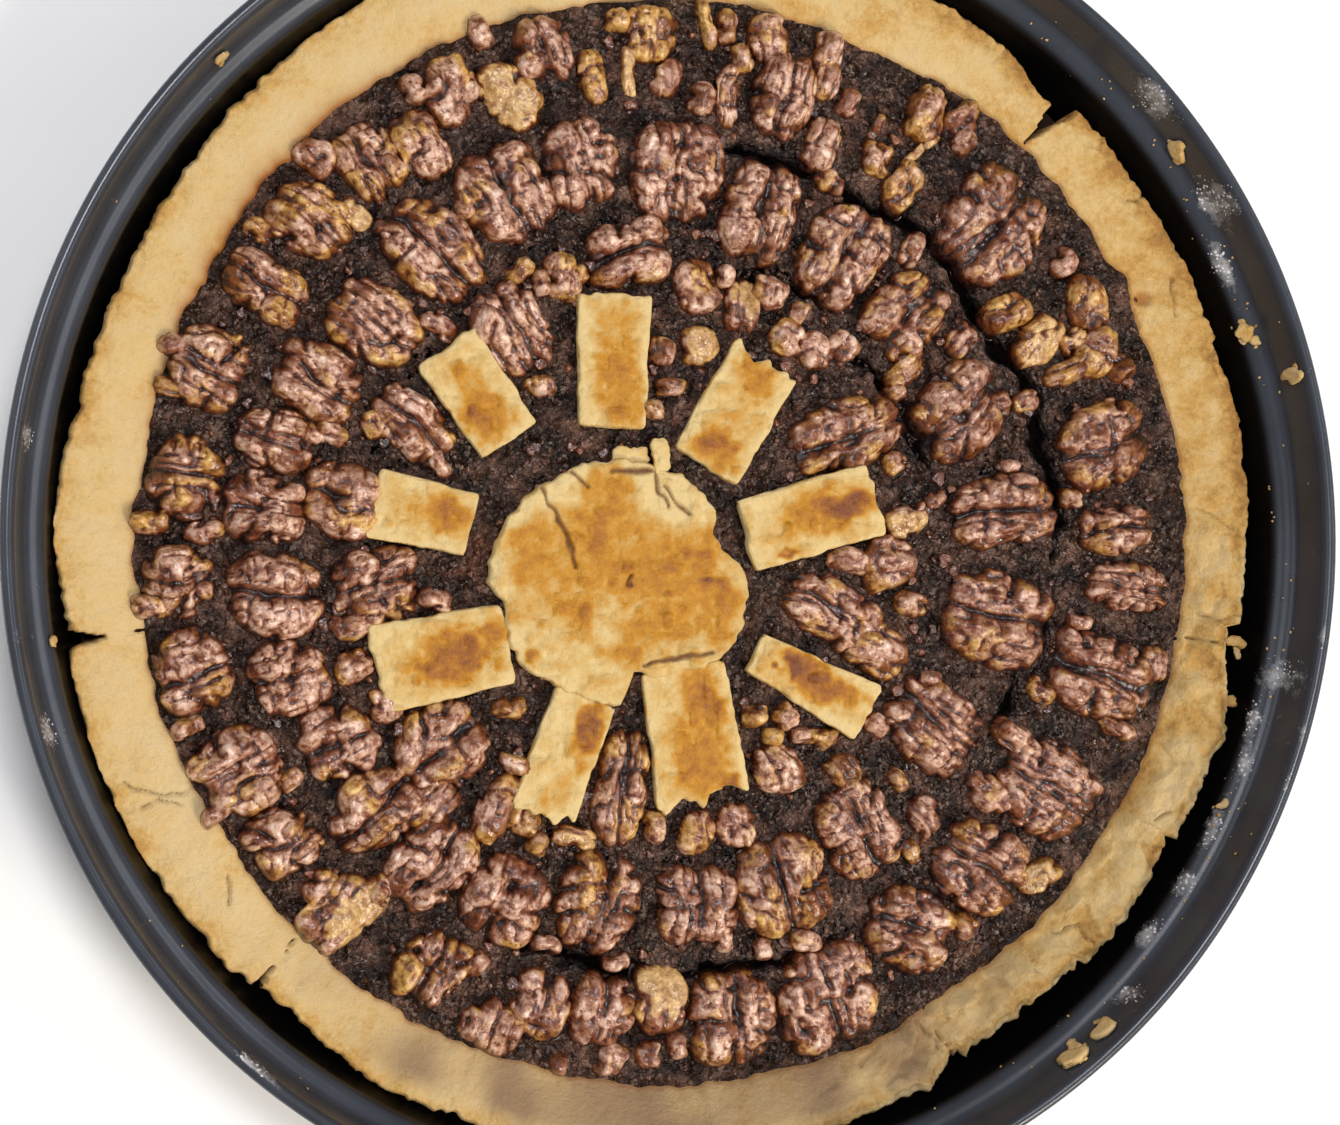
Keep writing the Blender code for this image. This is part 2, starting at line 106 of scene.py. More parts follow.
def soft_noise(x, y, size, seed):
    """Smooth noise from -1 to 1: random numbers at lattice points, blended by a smooth quintic."""
    x, y = np.asarray(x) / size, np.asarray(y) / size
    column, row = np.floor(x).astype(np.int64), np.floor(y).astype(np.int64)
    u, v = x - column, y - row
    u, v = u**3 * (u * (u * 6 - 15) + 10), v**3 * (v * (v * 6 - 15) + 10)
    low = lattice(column, row, seed) * (1 - u) + lattice(column + 1, row, seed) * u
    high = lattice(column, row + 1, seed) * (1 - u) + lattice(column + 1, row + 1, seed) * u
    return 2.0 * (low * (1 - v) + high * v) - 1.0


def waves(x, y, *parts):
    """Soft noises summed, from the strength, the size and the seed of each."""
    return sum(strength * soft_noise(x, y, size, seed) for strength, size, seed in parts)


def peaks(x, y, size, seed, level):
    """What of a soft noise stands over a level, and 0 elsewhere."""
    return np.maximum(soft_noise(x, y, size, seed) - level, 0.0)


def bell(away, spread):
    """1 where nothing is away, falling on both sides as the exponential of minus the square."""
    return np.exp(-((away / spread) ** 2))


def rough_noise(x, y, size, seed, octaves=3, keep=0.5):
    """Soft noise summed over sizes that halve, each with a smaller share."""
    total, share, whole = 0.0, 1.0, 0.0
    for octave in range(octaves):
        total = total + share * soft_noise(x, y, size / 2**octave, seed + 31 * octave)
        whole += share
        share *= keep
    return total / whole


def cells(x, y, size, seed):
    """Distances to the nearest and second nearest of points jittered on a lattice, in cells, and the
    nearest's own number."""
    x, y = np.asarray(x) / size, np.asarray(y) / size
    column, row = np.floor(x).astype(np.int64), np.floor(y).astype(np.int64)
    first = np.full(x.shape, 9.0)
    second = np.full(x.shape, 9.0)
    own = np.zeros(x.shape)
    for across in (-1, 0, 1):
        for along in (-1, 0, 1):
            c, r = column + across, row + along
            away = np.hypot(c + lattice(c, r, seed) - x, r + lattice(c, r, seed + 7) - y)
            nearer = away < first
            second = np.where(nearer, first, np.minimum(second, away))
            own = np.where(nearer, lattice(c, r, seed + 13), own)
            first = np.where(nearer, away, first)
    return first, second, own


def bent_cells(x, y, push, bend, bend_seed, size, seed):
    """Cells whose lines wander: the points are first pushed about by two soft noises."""
    right, up = soft_noise(x, y, bend, bend_seed), soft_noise(x, y, bend, bend_seed + 1)
    return cells(x + push * right, y + push * up, size, seed)


def polar(azimuth, radius):
    """X and Y at an azimuth in degrees and a radius."""
    turn = np.radians(azimuth)
    return radius * np.cos(turn), radius * np.sin(turn)


def ring_row(azimuth, radius, height):
    """Points round the pie, one for each azimuth of a row."""
    x, y = polar(azimuth, radius)
    return np.stack([x, y, np.broadcast_to(height, x.shape)], axis=-1)[0]


def degrees_from(azimuth, start):
    """How far an azimuth lies past a start, from -180 to 180 degrees."""
    return (np.asarray(azimuth) - start + 180.0) % 360.0 - 180.0


# ------------------------------------------------------------------- meshes


def grid_quads(rows, columns, around):
    """Quads of a grid whose points are numbered row by row. around joins the last column to the first."""
    row = np.arange(rows - 1)[:, None]
    column = np.arange(columns if around else columns - 1)[None, :]
    after = (column + 1) % columns
    low, high = row * columns, (row + 1) * columns
    return np.stack([low + column, low + after, high + after, high + column], axis=-1).reshape(-1, 4)


def turned_faces(rows, columns):
    """Faces of rows of points round an axis, from a pole under the first row to one over the last."""
    side = grid_quads(rows, columns, True)
    column = np.arange(columns)
    after = (column + 1) % columns
    last = (rows - 1) * columns
    bottom = np.stack([after, column, np.full(columns, rows * columns)], axis=-1)
    top = np.stack([last + column, last + after, np.full(columns, rows * columns + 1)], axis=-1)
    return side, np.concatenate([bottom, top])


def unit_disc(count):
    """A square grid drawn round into a unit disc, with points at even turns along its edge."""
    line = math.sqrt(2.0) * np.sin(np.linspace(-math.pi / 4, math.pi / 4, count))
    s, t = np.meshgrid(line, line, indexing="ij")
    return s * np.sqrt(1.0 - t * t / 2.0), t * np.sqrt(1.0 - s * s / 2.0)


class Heap:
    """Bodies gathered into one mesh: points, faces and named values for each point."""

    def __init__(self):
        self.points, self.quads, self.triangles, self.values, self.count = [], [], [], {}, 0

    def add(self, points, quads, triangles=None, **values):
        """Put in one body, its points in millimetres."""
        self.points.append(points)
        self.quads.append(quads + self.count)
        if triangles is not None:
            self.triangles.append(triangles + self.count)
        for name, value in values.items():
            self.values.setdefault(name, []).append(np.broadcast_to(value, len(points)))
        self.count += len(points)

    def make(self, name, material):
        """Make the mesh object, with its place in its mesh."""
        points = np.concatenate(self.points) * MM
        quads = np.concatenate(self.quads)
        triangles = np.concatenate(self.triangles) if self.triangles else np.zeros((0, 3), int)
        mesh = bpy.data.meshes.new(name)
        mesh.vertices.add(len(points))
        mesh.vertices.foreach_set("co", points.ravel())
        mesh.loops.add(quads.size + triangles.size)
        mesh.loops.foreach_set("vertex_index", np.concatenate([quads.ravel(), triangles.ravel()]))
        mesh.polygons.add(len(quads) + len(triangles))
        starts = np.concatenate([np.arange(len(quads)) * 4, quads.size + np.arange(len(triangles)) * 3])
        mesh.polygons.foreach_set("loop_start", starts)
        mesh.update(calc_edges=True)
        mesh.validate()
        for key, parts in self.values.items():
            mesh.attributes.new(key, "FLOAT", "POINT").data.foreach_set("value", np.concatenate(parts))
        mesh.shade_smooth()
        mesh.materials.append(material)
        piece = bpy.data.objects.new(name, mesh)
        bpy.context.scene.collection.objects.link(piece)
        return piece


# ---------------------------------------------------- places from the frame


def node_points(name):
    """The different points of a CAD node, in millimetres."""
    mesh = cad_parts[name].data
    points = np.empty(len(mesh.vertices) * 3)
    mesh.vertices.foreach_get("co", points)
    return np.unique(np.round(points.reshape(-1, 3) / MM, 3), axis=0)


def lie_of(name):
    """Where a walnut half lies: middle, heading, length and width, along its longest way in plan or the
    tin's radius."""
    points = node_points(name)[:, :2]
    middle = points.mean(axis=0)
    outward = middle / np.hypot(*middle)
    spread, ways = np.linalg.eigh(np.cov((points - middle).T))
    way = ways[:, 1] if spread[1] > 1.3 * spread[0] else outward
    way = way if way @ outward >= 0 else -way
    side = np.array([-way[1], way[0]])
    along, across = (points - middle) @ way, (points - middle) @ side
    return {
        "middle": middle,
        "heading": math.atan2(way[1], way[0]),
        "length": float(np.ptp(along)) / WALNUT_FIT,
        "width": float(np.ptp(across)) / WALNUT_FIT,
    }


def ray_corners(name):
    """A ray's four corners in plan, near left, near right, far right and far left, and its lowest
    height."""
    points = node_points(name)
    plan = points[:, :2]
    middle = plan.mean(axis=0)
    _, ways = np.linalg.eigh(np.cov((plan - middle).T))
    way = ways[:, 1] if ways[:, 1] @ (middle - DISC_CENTRE) > 0 else -ways[:, 1]
    side = np.array([-way[1], way[0]])
    along, across = (plan - middle) @ way, (plan - middle) @ side
    along, across = along / np.ptp(along), across / np.ptp(across)
    scores = (across - along, -across - along, along - across, along + across)
    return plan[[np.argmax(score) for score in scores]], float(points[:, 2].min())


# ----------------------------------------------------------- finishes


def set_inputs(tree, node, inputs):
    """Set a node's inputs: a socket is linked, anything else is the input's value."""
    for key, value in inputs.items():
        if isinstance(value, bpy.types.NodeSocket):
            tree.links.new(value, node.inputs[key])
        else:
            node.inputs[key].default_value = value


def add_node(tree, kind, inputs=None, stops=(), **settings):
    """Add a node with its settings, its inputs and a ramp's stops."""
    node = tree.nodes.new(kind)
    for key, value in settings.items():
        setattr(node, key, value)
    set_inputs(tree, node, inputs or {})
    for number, (place, colour) in enumerate(stops):
        made = node.color_ramp.elements
        stop = made[number] if number < 2 else made.new(place)
        stop.position = place
        stop.color = colour if len(colour) == 4 else linear(colour)
    return node


def attribute(tree, name):
    """A value that the mesh carries at each point."""
    return add_node(tree, "ShaderNodeAttribute", attribute_name=name).outputs["Fac"]


def noise(tree, place, scale, detail, rough=0.5):
    """Cloudy noise, 0 to 1: its waves to the metre, its finer octaves and how strong those are."""
    inputs = {"Vector": place, "Scale": scale, "Detail": detail, "Roughness": rough}
    return add_node(tree, "ShaderNodeTexNoise", inputs).outputs["Fac"]


def grains(tree, place, scale):
    """The outputs of a pattern of grains, so many to the metre."""
    inputs = {"Vector": place, "Scale": scale, "Randomness": 1.0}
    return add_node(tree, "ShaderNodeTexVoronoi", inputs).outputs


def reckon(tree, operation, *values, **settings):
    """The result of a sum on values."""
    inputs = dict(enumerate(values))
    return add_node(tree, "ShaderNodeMath", inputs, operation=operation, **settings).outputs[0]


def ranged(tree, value, start, end, least=0.0, most=1.0):
    """A value that runs from least to most while the given one runs from start to end."""
    inputs = {"Value": value, "From Min": start, "From Max": end, "To Min": least, "To Max": most}
    return add_node(tree, "ShaderNodeMapRange", inputs).outputs[0]


def ramp(tree, value, *stops):
    """A colour that runs through stops: the first, the last, then those between."""
    return add_node(tree, "ShaderNodeValToRGB", {"Fac": value}, stops).outputs["Color"]


def blend(tree, share, first, second, **settings):
    """Two colours mixed, the share being the second's."""
    inputs = {0: share, 6: first, 7: second}
    return add_node(tree, "ShaderNodeMix", inputs, data_type="RGBA", **settings).outputs[2]


def bumped(tree, height, strength, distance):
    """A normal tilted by a height of so many metres."""
    inputs = {"Height": height, "Strength": strength, "Distance": distance}
    return add_node(tree, "ShaderNodeBump", inputs).outputs["Normal"]


def new_material(name):
    """An empty material with its output, its shader and its Object coordinates."""
    material = bpy.data.materials.new(name)
    material.use_nodes = True
    tree = material.node_tree
    shader = tree.nodes["Principled BSDF"]
    place = add_node(tree, "ShaderNodeTexCoord").outputs["Object"]
    return material, tree, shader, place


def enamelled_steel(colours):
    """Black enamel fired on pressed steel: a glassy blue-black that turns grey in the light, painted matt
    near-black down by the crust as the shade in the gap there, with specks of flour and pale smears where
    floury fingers held it."""
    material, tree, shader, place = new_material("enamelled steel")
    flour, soot = attribute(tree, "flour"), attribute(tree, "soot")
    shaded = tuple(0.75 * part for part in colours.enamel[:3]) + (1.0,)
    tint = ramp(tree, noise(tree, place, 60.0, 5.0), (0.35, shaded), (0.65, tuple(colours.enamel)))
    # painted shade: the enamel turns matt near-black in the shadowed gap behind the crust
    gap_shaded = blend(tree, soot, tint, linear("#060505"))
    # flour grains: about 0.5 mm, coarser than real flour so that they show
    wanted = ranged(tree, reckon(tree, "ADD", noise(tree, place, 95.0, 3.0), flour), 0.74, 1.3, 0.0, 0.4)
    grain = grains(tree, place, 900.0)["Distance"]
    speck = ranged(tree, reckon(tree, "SUBTRACT", wanted, grain), 0.0, 0.08)
    # a thin film of flour under them
    film = reckon(tree, "MULTIPLY_ADD", flour, 0.4, noise(tree, place, 150.0, 8.0, 0.8))
    film = ranged(tree, film, 0.72, 0.98, 0.0, 0.62)
    cover = reckon(tree, "MAXIMUM", speck, film, use_clamp=True)
    set_inputs(tree, shader, {
        "Base Color": blend(tree, cover, gap_shaded, linear("#cfccca")),
        "Roughness": ranged(tree, cover, 0.0, 1.0, 0.27, 0.85),
        "Specular IOR Level": ranged(tree, soot, 0.0, 1.0, 0.5, 0.03),
        "Normal": bumped(tree, noise(tree, place, 160.0, 2.0), 0.2, 0.0002),
    })
    return material


def baked_shortcrust(colours):
    """Shortcrust baked dry: matt, pale gold and sandy, browner on what stood highest in the oven, with
    painted shade in its flakes and splits and on its inner face at the bottom of the pie, and stained amber
    where syrup touched it."""
    material, tree, shader, place = new_material("baked shortcrust")
    patch, grain = noise(tree, place, 90.0, 6.0, 0.72), noise(tree, place, 700.0, 3.0, 0.7)
    mottled = reckon(tree, "MULTIPLY_ADD", grain, 0.35, patch)
    browned = reckon(tree, "ADD", mottled, attribute(tree, "bake"))
    colour = ramp(tree, browned, (0.42, "#d8be8c"), (1.0, "#a87a3e"), (0.66, tuple(colours.shortcrust)),
                  (0.82, "#c99f59"))
    # painted shade: greyer and darker on the crust's inner face at the bottom of the pie
    bottom_shaded = blend(tree, attribute(tree, "dull"), colour, linear("#94795a"))
    stained = blend(tree, attribute(tree, "syrup"), bottom_shaded, linear("#9a5a1c"))
    set_inputs(tree, shader, {
        # painted shade: near black in the splits, the cracks and along the flakes' edges
        "Base Color": blend(tree, attribute(tree, "crease"), stained, linear("#2a1509")),
        "Roughness": 0.82,
        "Specular IOR Level": 0.3,
        "Normal": bumped(tree, noise(tree, place, 340.0, 5.0, 0.74), 0.9, 0.0013),
    })
    return material


def egg_washed_pastry(colours):
    """Thin shortcrust brushed with egg and baked: pale cream at its edges and amber where the glaze browned,
    with a low satin gloss, small blisters, a few scorched spots and painted shade in its cracks and folds."""
    material, tree, shader, place = new_material("egg washed pastry")
    drift = ranged(tree, noise(tree, place, 260.0, 5.0, 0.7), 0.34, 0.66, -0.16, 0.14)
    level = reckon(tree, "ADD", attribute(tree, "toast"), drift)
    colour = ramp(tree, level, (0.0, "#d6bc82"), (1.0, "#743d14"), (0.22, tuple(colours.egg_wash_pale)),
                  (0.5, tuple(colours.egg_wash_amber)), (0.78, "#9c5f0e"))
    set_inputs(tree, shader, {
        # painted shade: darker in the disc's cracks and folds
        "Base Color": blend(tree, attribute(tree, "crease"), colour, linear("#6b4424")),
        "Roughness": ranged(tree, level, 0.0, 1.0, 0.7, 0.38),
        "Specular IOR Level": 0.35,
        "Normal": bumped(tree, noise(tree, place, 400.0, 4.0, 0.66), 0.85, 0.0011),
    })
    return material


def walnut_filling(colours):
    """Dark filling of ground nuts in scorched syrup: near black and crumbly, with wet glints on its grains
    and pale flecks that are partly painted glints, browner where it baked dry, red-brown round the pastry
    disc, and black with painted shade inside its cracks and between its crumbs."""
    material, tree, shader, place = new_material("walnut filling")
    crease = attribute(tree, "crease")
    patch = noise(tree, place, 130.0, 6.0, 0.7)
    colour = ramp(tree, patch, (0.38, "#1c0e09"), (0.64, "#7d5b4b"), (0.51, tuple(colours.filling)))
    red = ramp(tree, patch, (0.3, "#42261a"), (0.7, "#84543f"))
    toned = blend(tree, attribute(tree, "ruddy"), colour, red)
    # pale flecks of about 0.6 mm, gathered in drifts: painted glints of wet sugar grains, and flecks of pale
    # nut
    fleck = add_node(tree, "ShaderNodeSeparateColor", {"Color": grains(tree, place, 1150.0)["Color"]})
    chance = reckon(tree, "MULTIPLY_ADD", noise(tree, place, 170.0, 3.0), 0.9, fleck.outputs["Red"])
    glints_and_flecks = blend(tree, ranged(tree, chance, 1.3, 1.38, 0.0, 0.42), toned, linear("#a58b7a"))
    # packed grains, with the finest crumbs on them
    grain = grains(tree, place, 560.0)["Distance"]
    height = reckon(tree, "MULTIPLY_ADD", grain, -1.0, noise(tree, place, 900.0, 1.5, 0.6))
    wet = reckon(tree, "MULTIPLY_ADD", crease, 0.4, noise(tree, place, 330.0, 2.0))
    set_inputs(tree, shader, {
        # painted shade: near black in the cracks and between the crumbs
        "Base Color": blend(tree, crease, glints_and_flecks, linear("#0b0605")),
        "Roughness": ranged(tree, wet, 0.42, 0.9, 0.14, 1.0),
        "Specular IOR Level": ranged(tree, crease, 0.3, 1.0, 0.5, 0.03),
        "Normal": bumped(tree, height, 1.0, 0.0026),
    })
    return material


def roasted_walnut(colours):
    """Walnut halves roasted in their papery skin: pinkish brown with an oily shine, amber where the skin is
    thin or syrup caught, darkened with painted shade in the folds and hollows and with real dark stains, and
    pale cream where a nut broke."""
    material, tree, shader, place = new_material("roasted walnut")
    skin = noise(tree, place, 420.0, 5.0, 0.65)
    brown = ramp(tree, skin, (0.38, "#7f472e"), (0.64, "#f8dac4"), (0.51, tuple(colours.walnut)))
    amber = ramp(tree, skin, (0.36, "#7d4a1a"), (0.66, "#edc97f"), (0.5, tuple(colours.walnut_amber)))
    glazed = reckon(tree, "ADD", noise(tree, place, 150.0, 3.0), attribute(tree, "tone"))
    toned = blend(tree, ranged(tree, glazed, 0.56, 0.9), brown, amber)
    # painted shade in the folds and hollows, with real dark stains, multiplied over the skin
    shade_and_stain = ramp(tree, attribute(tree, "crease"), (0.0, "#ffffff"), (1.0, "#2c130a"), (0.4, "#9a6c4a"))
    dark = blend(tree, 1.0, toned, shade_and_stain, blend_type="MULTIPLY")
    meat = ramp(tree, skin, (0.36, "#8f5f2c"), (0.64, "#d8b070"))
    veined = bumped(tree, noise(tree, place, 520.0, 3.0, 0.55), 0.6, 0.0012)
    set_inputs(tree, shader, {
        "Base Color": blend(tree, attribute(tree, "flesh"), dark, meat),
        "Roughness": ranged(tree, skin, 0.3, 0.7, 0.28, 0.5),
        "Coat Weight": 0.8,
        "Coat Roughness": 0.13,
        "Normal": veined,
        "Coat Normal": veined,
    })
    return material


def pale_floor():
    """A painted table top: flat, matt and nearly white, with the faintest cloudiness."""
    material, tree, shader, place = new_material("matt white paint")
    colour = ramp(tree, noise(tree, place, 6.0, 3.0), (0.3, "#f4f4f2"), (0.7, "#fafaf8"))
    set_inputs(tree, shader, {"Base Color": colour, "Roughness": 0.9})
    return material


def finish_of(maker, colours):
    """A finish made once and shared: the material that this maker made before, or a new one."""
    name = maker.__name__.replace("_", " ")
    return bpy.data.materials.get(name) or maker(colours)


# --------------------------------------------------------------- the tin


def arc(centre, radius, start, end, steps):
    """Points of an arc in the R-Z plane, from one angle to another."""
    turn = np.radians(np.linspace(start, end, steps + 1))
    return np.stack([centre[0] + radius * np.cos(turn), centre[1] + radius * np.sin(turn)], axis=-1)


def along_path(points, spacing):
    """A path through points with more of them, no further apart than the spacing."""
    parts = [points[:1]]
    for start, end in zip(points, points[1:]):
        steps = max(1, math.ceil(np.hypot(*(end - start)) / spacing))
        parts.append(start + (end - start) * (np.arange(1, steps + 1) / steps)[:, None])
    return np.concatenate(parts)


def smoothed(points, times):
    """A path with each point but its ends drawn toward the middle of its neighbours, several times."""
    for _ in range(times):
        within = 0.25 * points[:-2] + 0.5 * points[1:-1] + 0.25 * points[2:]
        points = np.concatenate([points[:1], within, points[-1:]])
    return points


def tin_profile():
    """The sheet's outline in the R-Z plane: floor, corner arc, leaning wall, rounded bead, flared wall,
    rolled rim of one full arc, and the same way back a sheet's thickness further out."""
    centre = (FLOOR_RADIUS, SHEET + FLOOR_CORNER)
    inner = np.concatenate([arc(centre, FLOOR_CORNER, -90, 0, 10), SHOULDER, [WALL_TOP]])
    shift = np.array([(1.0, -0.1), (1.0, -0.3), (0.8, -0.6), (0.5, -0.8), (0.8, -0.6), (1.0, -0.2)])
    shoulder = np.array(SHOULDER) + shift * (SHEET, 1.0)
    outer = np.concatenate([shoulder[::-1], arc(centre, FLOOR_CORNER + SHEET, 0, -90, 10)])
    wall = smoothed(along_path(inner, 0.9), 3)
    back = smoothed(along_path(outer, 0.9), 3)
    roll = arc((RIM_RADIUS - ROLL_RADIUS, WALL_TOP[1]), ROLL_RADIUS, 180, -110, 24)
    floor = along_path(np.array([(40.0, SHEET), (FLOOR_RADIUS, SHEET)]), 12.0)[:-1]
    under = along_path(np.array([(FLOOR_RADIUS, 0.0), (40.0, 0.0)]), 12.0)[1:]
    return np.concatenate([floor, wall, roll[1:], back, under])


# Floury smears on the tin's wall: azimuth, radius, size round the tin, size across it
FLOUR_SMEARS = (
    (-12.6, 165.5, 5.0, 3.0), (-17.2, 162.8, 6.0, 1.6), (-17.5, 170.5, 3.5, 1.2),
    (-21.5, 164.0, 5.5, 1.8), (-22.0, 170.6, 4.0, 1.2), (-28.5, 163.0, 7.0, 1.6),
    (-34.4, 163.6, 5.0, 2.0), (-40.3, 163.0, 4.0, 1.6), (-8.8, 170.5, 4.0, 1.2), (33.0, 167.5, 6.0, 2.0),
    (27.0, 164.0, 7.0, 2.0), (44.0, 168.5, 7.0, 1.6), (-46.0, 167.0, 3.0, 1.5), (228.0, 170.0, 8.0, 1.2),
    (172.0, 168.0, 3.0, 1.5), (196.0, 168.0, 4.0, 1.5),
)


def tin_surface(heap):
    """The tin: its profile turned about Z, its wall pushed in and out by a tenth of a millimetre as pressed
    steel is. Flour is marked in soft ovals where hands and dough left it, and painted shade down in the gap
    behind the crust."""
    profile = tin_profile()[::-1]
    columns = TIN_COLUMNS
    azimuth = np.arange(columns) * 360.0 / columns
    radius = profile[:, :1] + np.zeros(columns)
    height = profile[:, 1:] + np.zeros(columns)
    inner = (np.arange(len(profile)) > np.argmax(profile[:, 1]))[:, None]
    wall = smooth_step(150.0, 160.0, radius) * (1.0 - smooth_step(169.0, 171.0, radius))
    x, y = polar(azimuth[None, :], radius)
    radius = radius + 0.12 * wall * soft_noise(x, y, 45.0, 3)
    x, y = polar(azimuth[None, :], radius)
    smear = np.zeros(radius.shape)
    for middle, out, round_it, across in FLOUR_SMEARS:
        away = np.radians(degrees_from(azimuth, middle))[None, :] * radius / round_it
        smear = np.maximum(smear, np.exp(-away**2 - ((radius - out) / across) ** 2))
    flour = np.clip(0.2 + 0.8 * smear * inner, 0, 1) * smooth_step(160.0, 162.5, radius)
    flour = np.where(height < 3.0, 0.0, flour)
    # painted shade on the inner wall, in the shadowed gap behind the crust
    soot = smooth_step(163.2, 161.6, radius) * inner
    points = np.stack([x, y, height], axis=-1).reshape(-1, 3)
    points = np.concatenate([points, [(0, 0, 0)], [(0, 0, SHEET)]])
    heap.add(points, *turned_faces(len(profile), columns), flour=np.append(flour.ravel(), (0, 0)),
             soot=np.append(soot.ravel(), (0, 1)))


# --------------------------------------------------------------- the crust


def wall_radius(height):
    """The radius of the tin's inner wall at a height over its corner arc."""
    wall = np.array(INNER_WALL)
    return np.interp(height, wall[:, 1], wall[:, 0])


def inside_wall(radius, height):
    """A radius held a third of a millimetre inside the tin's wall at a height."""
    return np.minimum(radius, wall_radius(height) - WALL_GAP)


# The crust's outer radius round the tin before it is made ragged: azimuth, radius
EDGE_LINE = (
    (0, 158.4), (25, 159.3), (48, 158.6), (49, 153.6), (58, 159.4), (90, 159.8), (125, 159.8), (140, 158.4),
    (155, 157.2), (170, 158.0), (180, 161.2), (188, 157.8), (191, 160.0), (209, 160.4), (224, 157.9),
    (226, 156.0), (239, 158.8), (262, 158.5), (295, 157.9), (299, 156.5), (320, 158.8), (340, 158.8),
    (347, 156.4), (352, 156.6), (360, 158.4),
)
# Breaks where a piece of the crust's edge came off: azimuth, depth and the degrees over which it comes back
EDGE_BREAKS = ((-8.5, 3.0, 5.0), (-31.0, 3.4, 7.0), (-46.5, 2.6, 6.0), (-61.5, 3.0, 5.0), (20.5, 1.6, 4.0))


def crust_edge(azimuth, ragged):
    """The crust's outer radius: a slow wave, a ragged broken line of three sizes, and a tear where each
    split starts."""
    x, y = polar(azimuth, CASE_EDGE_RADIUS)
    line = np.array(EDGE_LINE)
    slow = np.interp(azimuth % 360.0, line[:, 0], line[:, 1])
    rough = waves(x, y, (0.5, 9.0, 21), (0.4, 3.4, 22), (0.45, 1.6, 23))
    spikes = 1.6 * peaks(x, y, 3.8, 24, 0.35) - 2.2 * peaks(x, y, 5.2, 25, 0.45)
    torn = torn_part(azimuth) * (waves(x, y, (1.5, 12.0, 26), (0.8, 5.0, 27)) - 0.3)
    # each break falls back at once and comes out again slowly
    for start, depth, length in EDGE_BREAKS:
        past = -degrees_from(azimuth, start)
        torn = torn - depth * smooth_step(-0.15, 0.15, past) * np.exp(-np.maximum(past, 0.0) / length * 2.2)
    return slow + ragged * (rough + spikes + torn)


def torn_part(azimuth):
    """1 round the lower right of the tin, where the crust is lumpy and torn, and 0 elsewhere."""
    return smooth_step(48.0, 30.0, np.abs(degrees_from(azimuth, -36.0)))


def crust_lip(azimuth):
    """The radius at which the crust dips into the filling."""
    x, y = polar(azimuth, CASE_INNER_RADIUS)
    step = 2.0 * bell(degrees_from(azimuth, 30.5), 2.2) - 1.6 * bell(degrees_from(azimuth, 25.0), 2.6)
    return CASE_INNER_RADIUS + 0.1 + step + waves(x, y, (1.2, 24.0, 31), (0.9, 7.0, 32), (0.45, 2.6, 33))


def split_share(azimuth, radius):
    """How far inside a split a point lies: 1 well inside, 0 outside. A split is a wedge with a
    wandering line."""
    share = np.zeros(np.broadcast(azimuth, radius).shape)
    for middle, tip, width in SPLITS:
        line = 0.9 * soft_noise(radius, radius * 0 + middle, 4.0, 41)
        away = np.abs(np.radians(degrees_from(azimuth, middle)) * radius - line)
        half = 0.5 * width * np.clip((radius - tip) / (CASE_EDGE_RADIUS - tip), 0.0, 1.3)
        share = np.maximum(share, smooth_step(-0.25, 0.35, half - away))
    return share


def crust_steepness(azimuth):
    """How steeply the crust's inner face climbs, 0 to 1: steep round the lower right of the tin, low
    elsewhere."""
    return smooth_step(75.0, 30.0, np.abs(degrees_from(azimuth, -52.0)))


# Hairline cracks across the crust, each a path through points at X and Y
FISSURES = (
    ((-143.5, -60.5), (-133.0, -64.0), (-126.5, -62.0)),
    ((-139.0, -66.0), (-136.0, -64.5), (-130.0, -66.0)),
    ((-119.0, -91.0), (-118.0, -84.0)),
    ((136.5, 72.0), (137.5, 62.0)),
    ((131.0, 97.0), (125.0, 93.0), (121.0, 92.0)),
    ((68.0, -135.0), (62.0, -128.0), (56.0, -131.0)),
    ((143.0, -20.0), (149.0, -21.5), (155.0, -20.5)),
    ((128.0, -76.0), (134.0, -73.0)),
    ((101.0, -105.0), (108.0, -103.0), (110.0, -108.0)),
)


def crust_fissures(x, y):
    """Hairline cracks across the crust, 1 on their lines, with a faint wander."""
    share = np.zeros(np.shape(x))
    for number, path in enumerate(FISSURES):
        share = np.maximum(share, crack_line(x, y, path, 0.32, 181 + 2 * number))
    return share


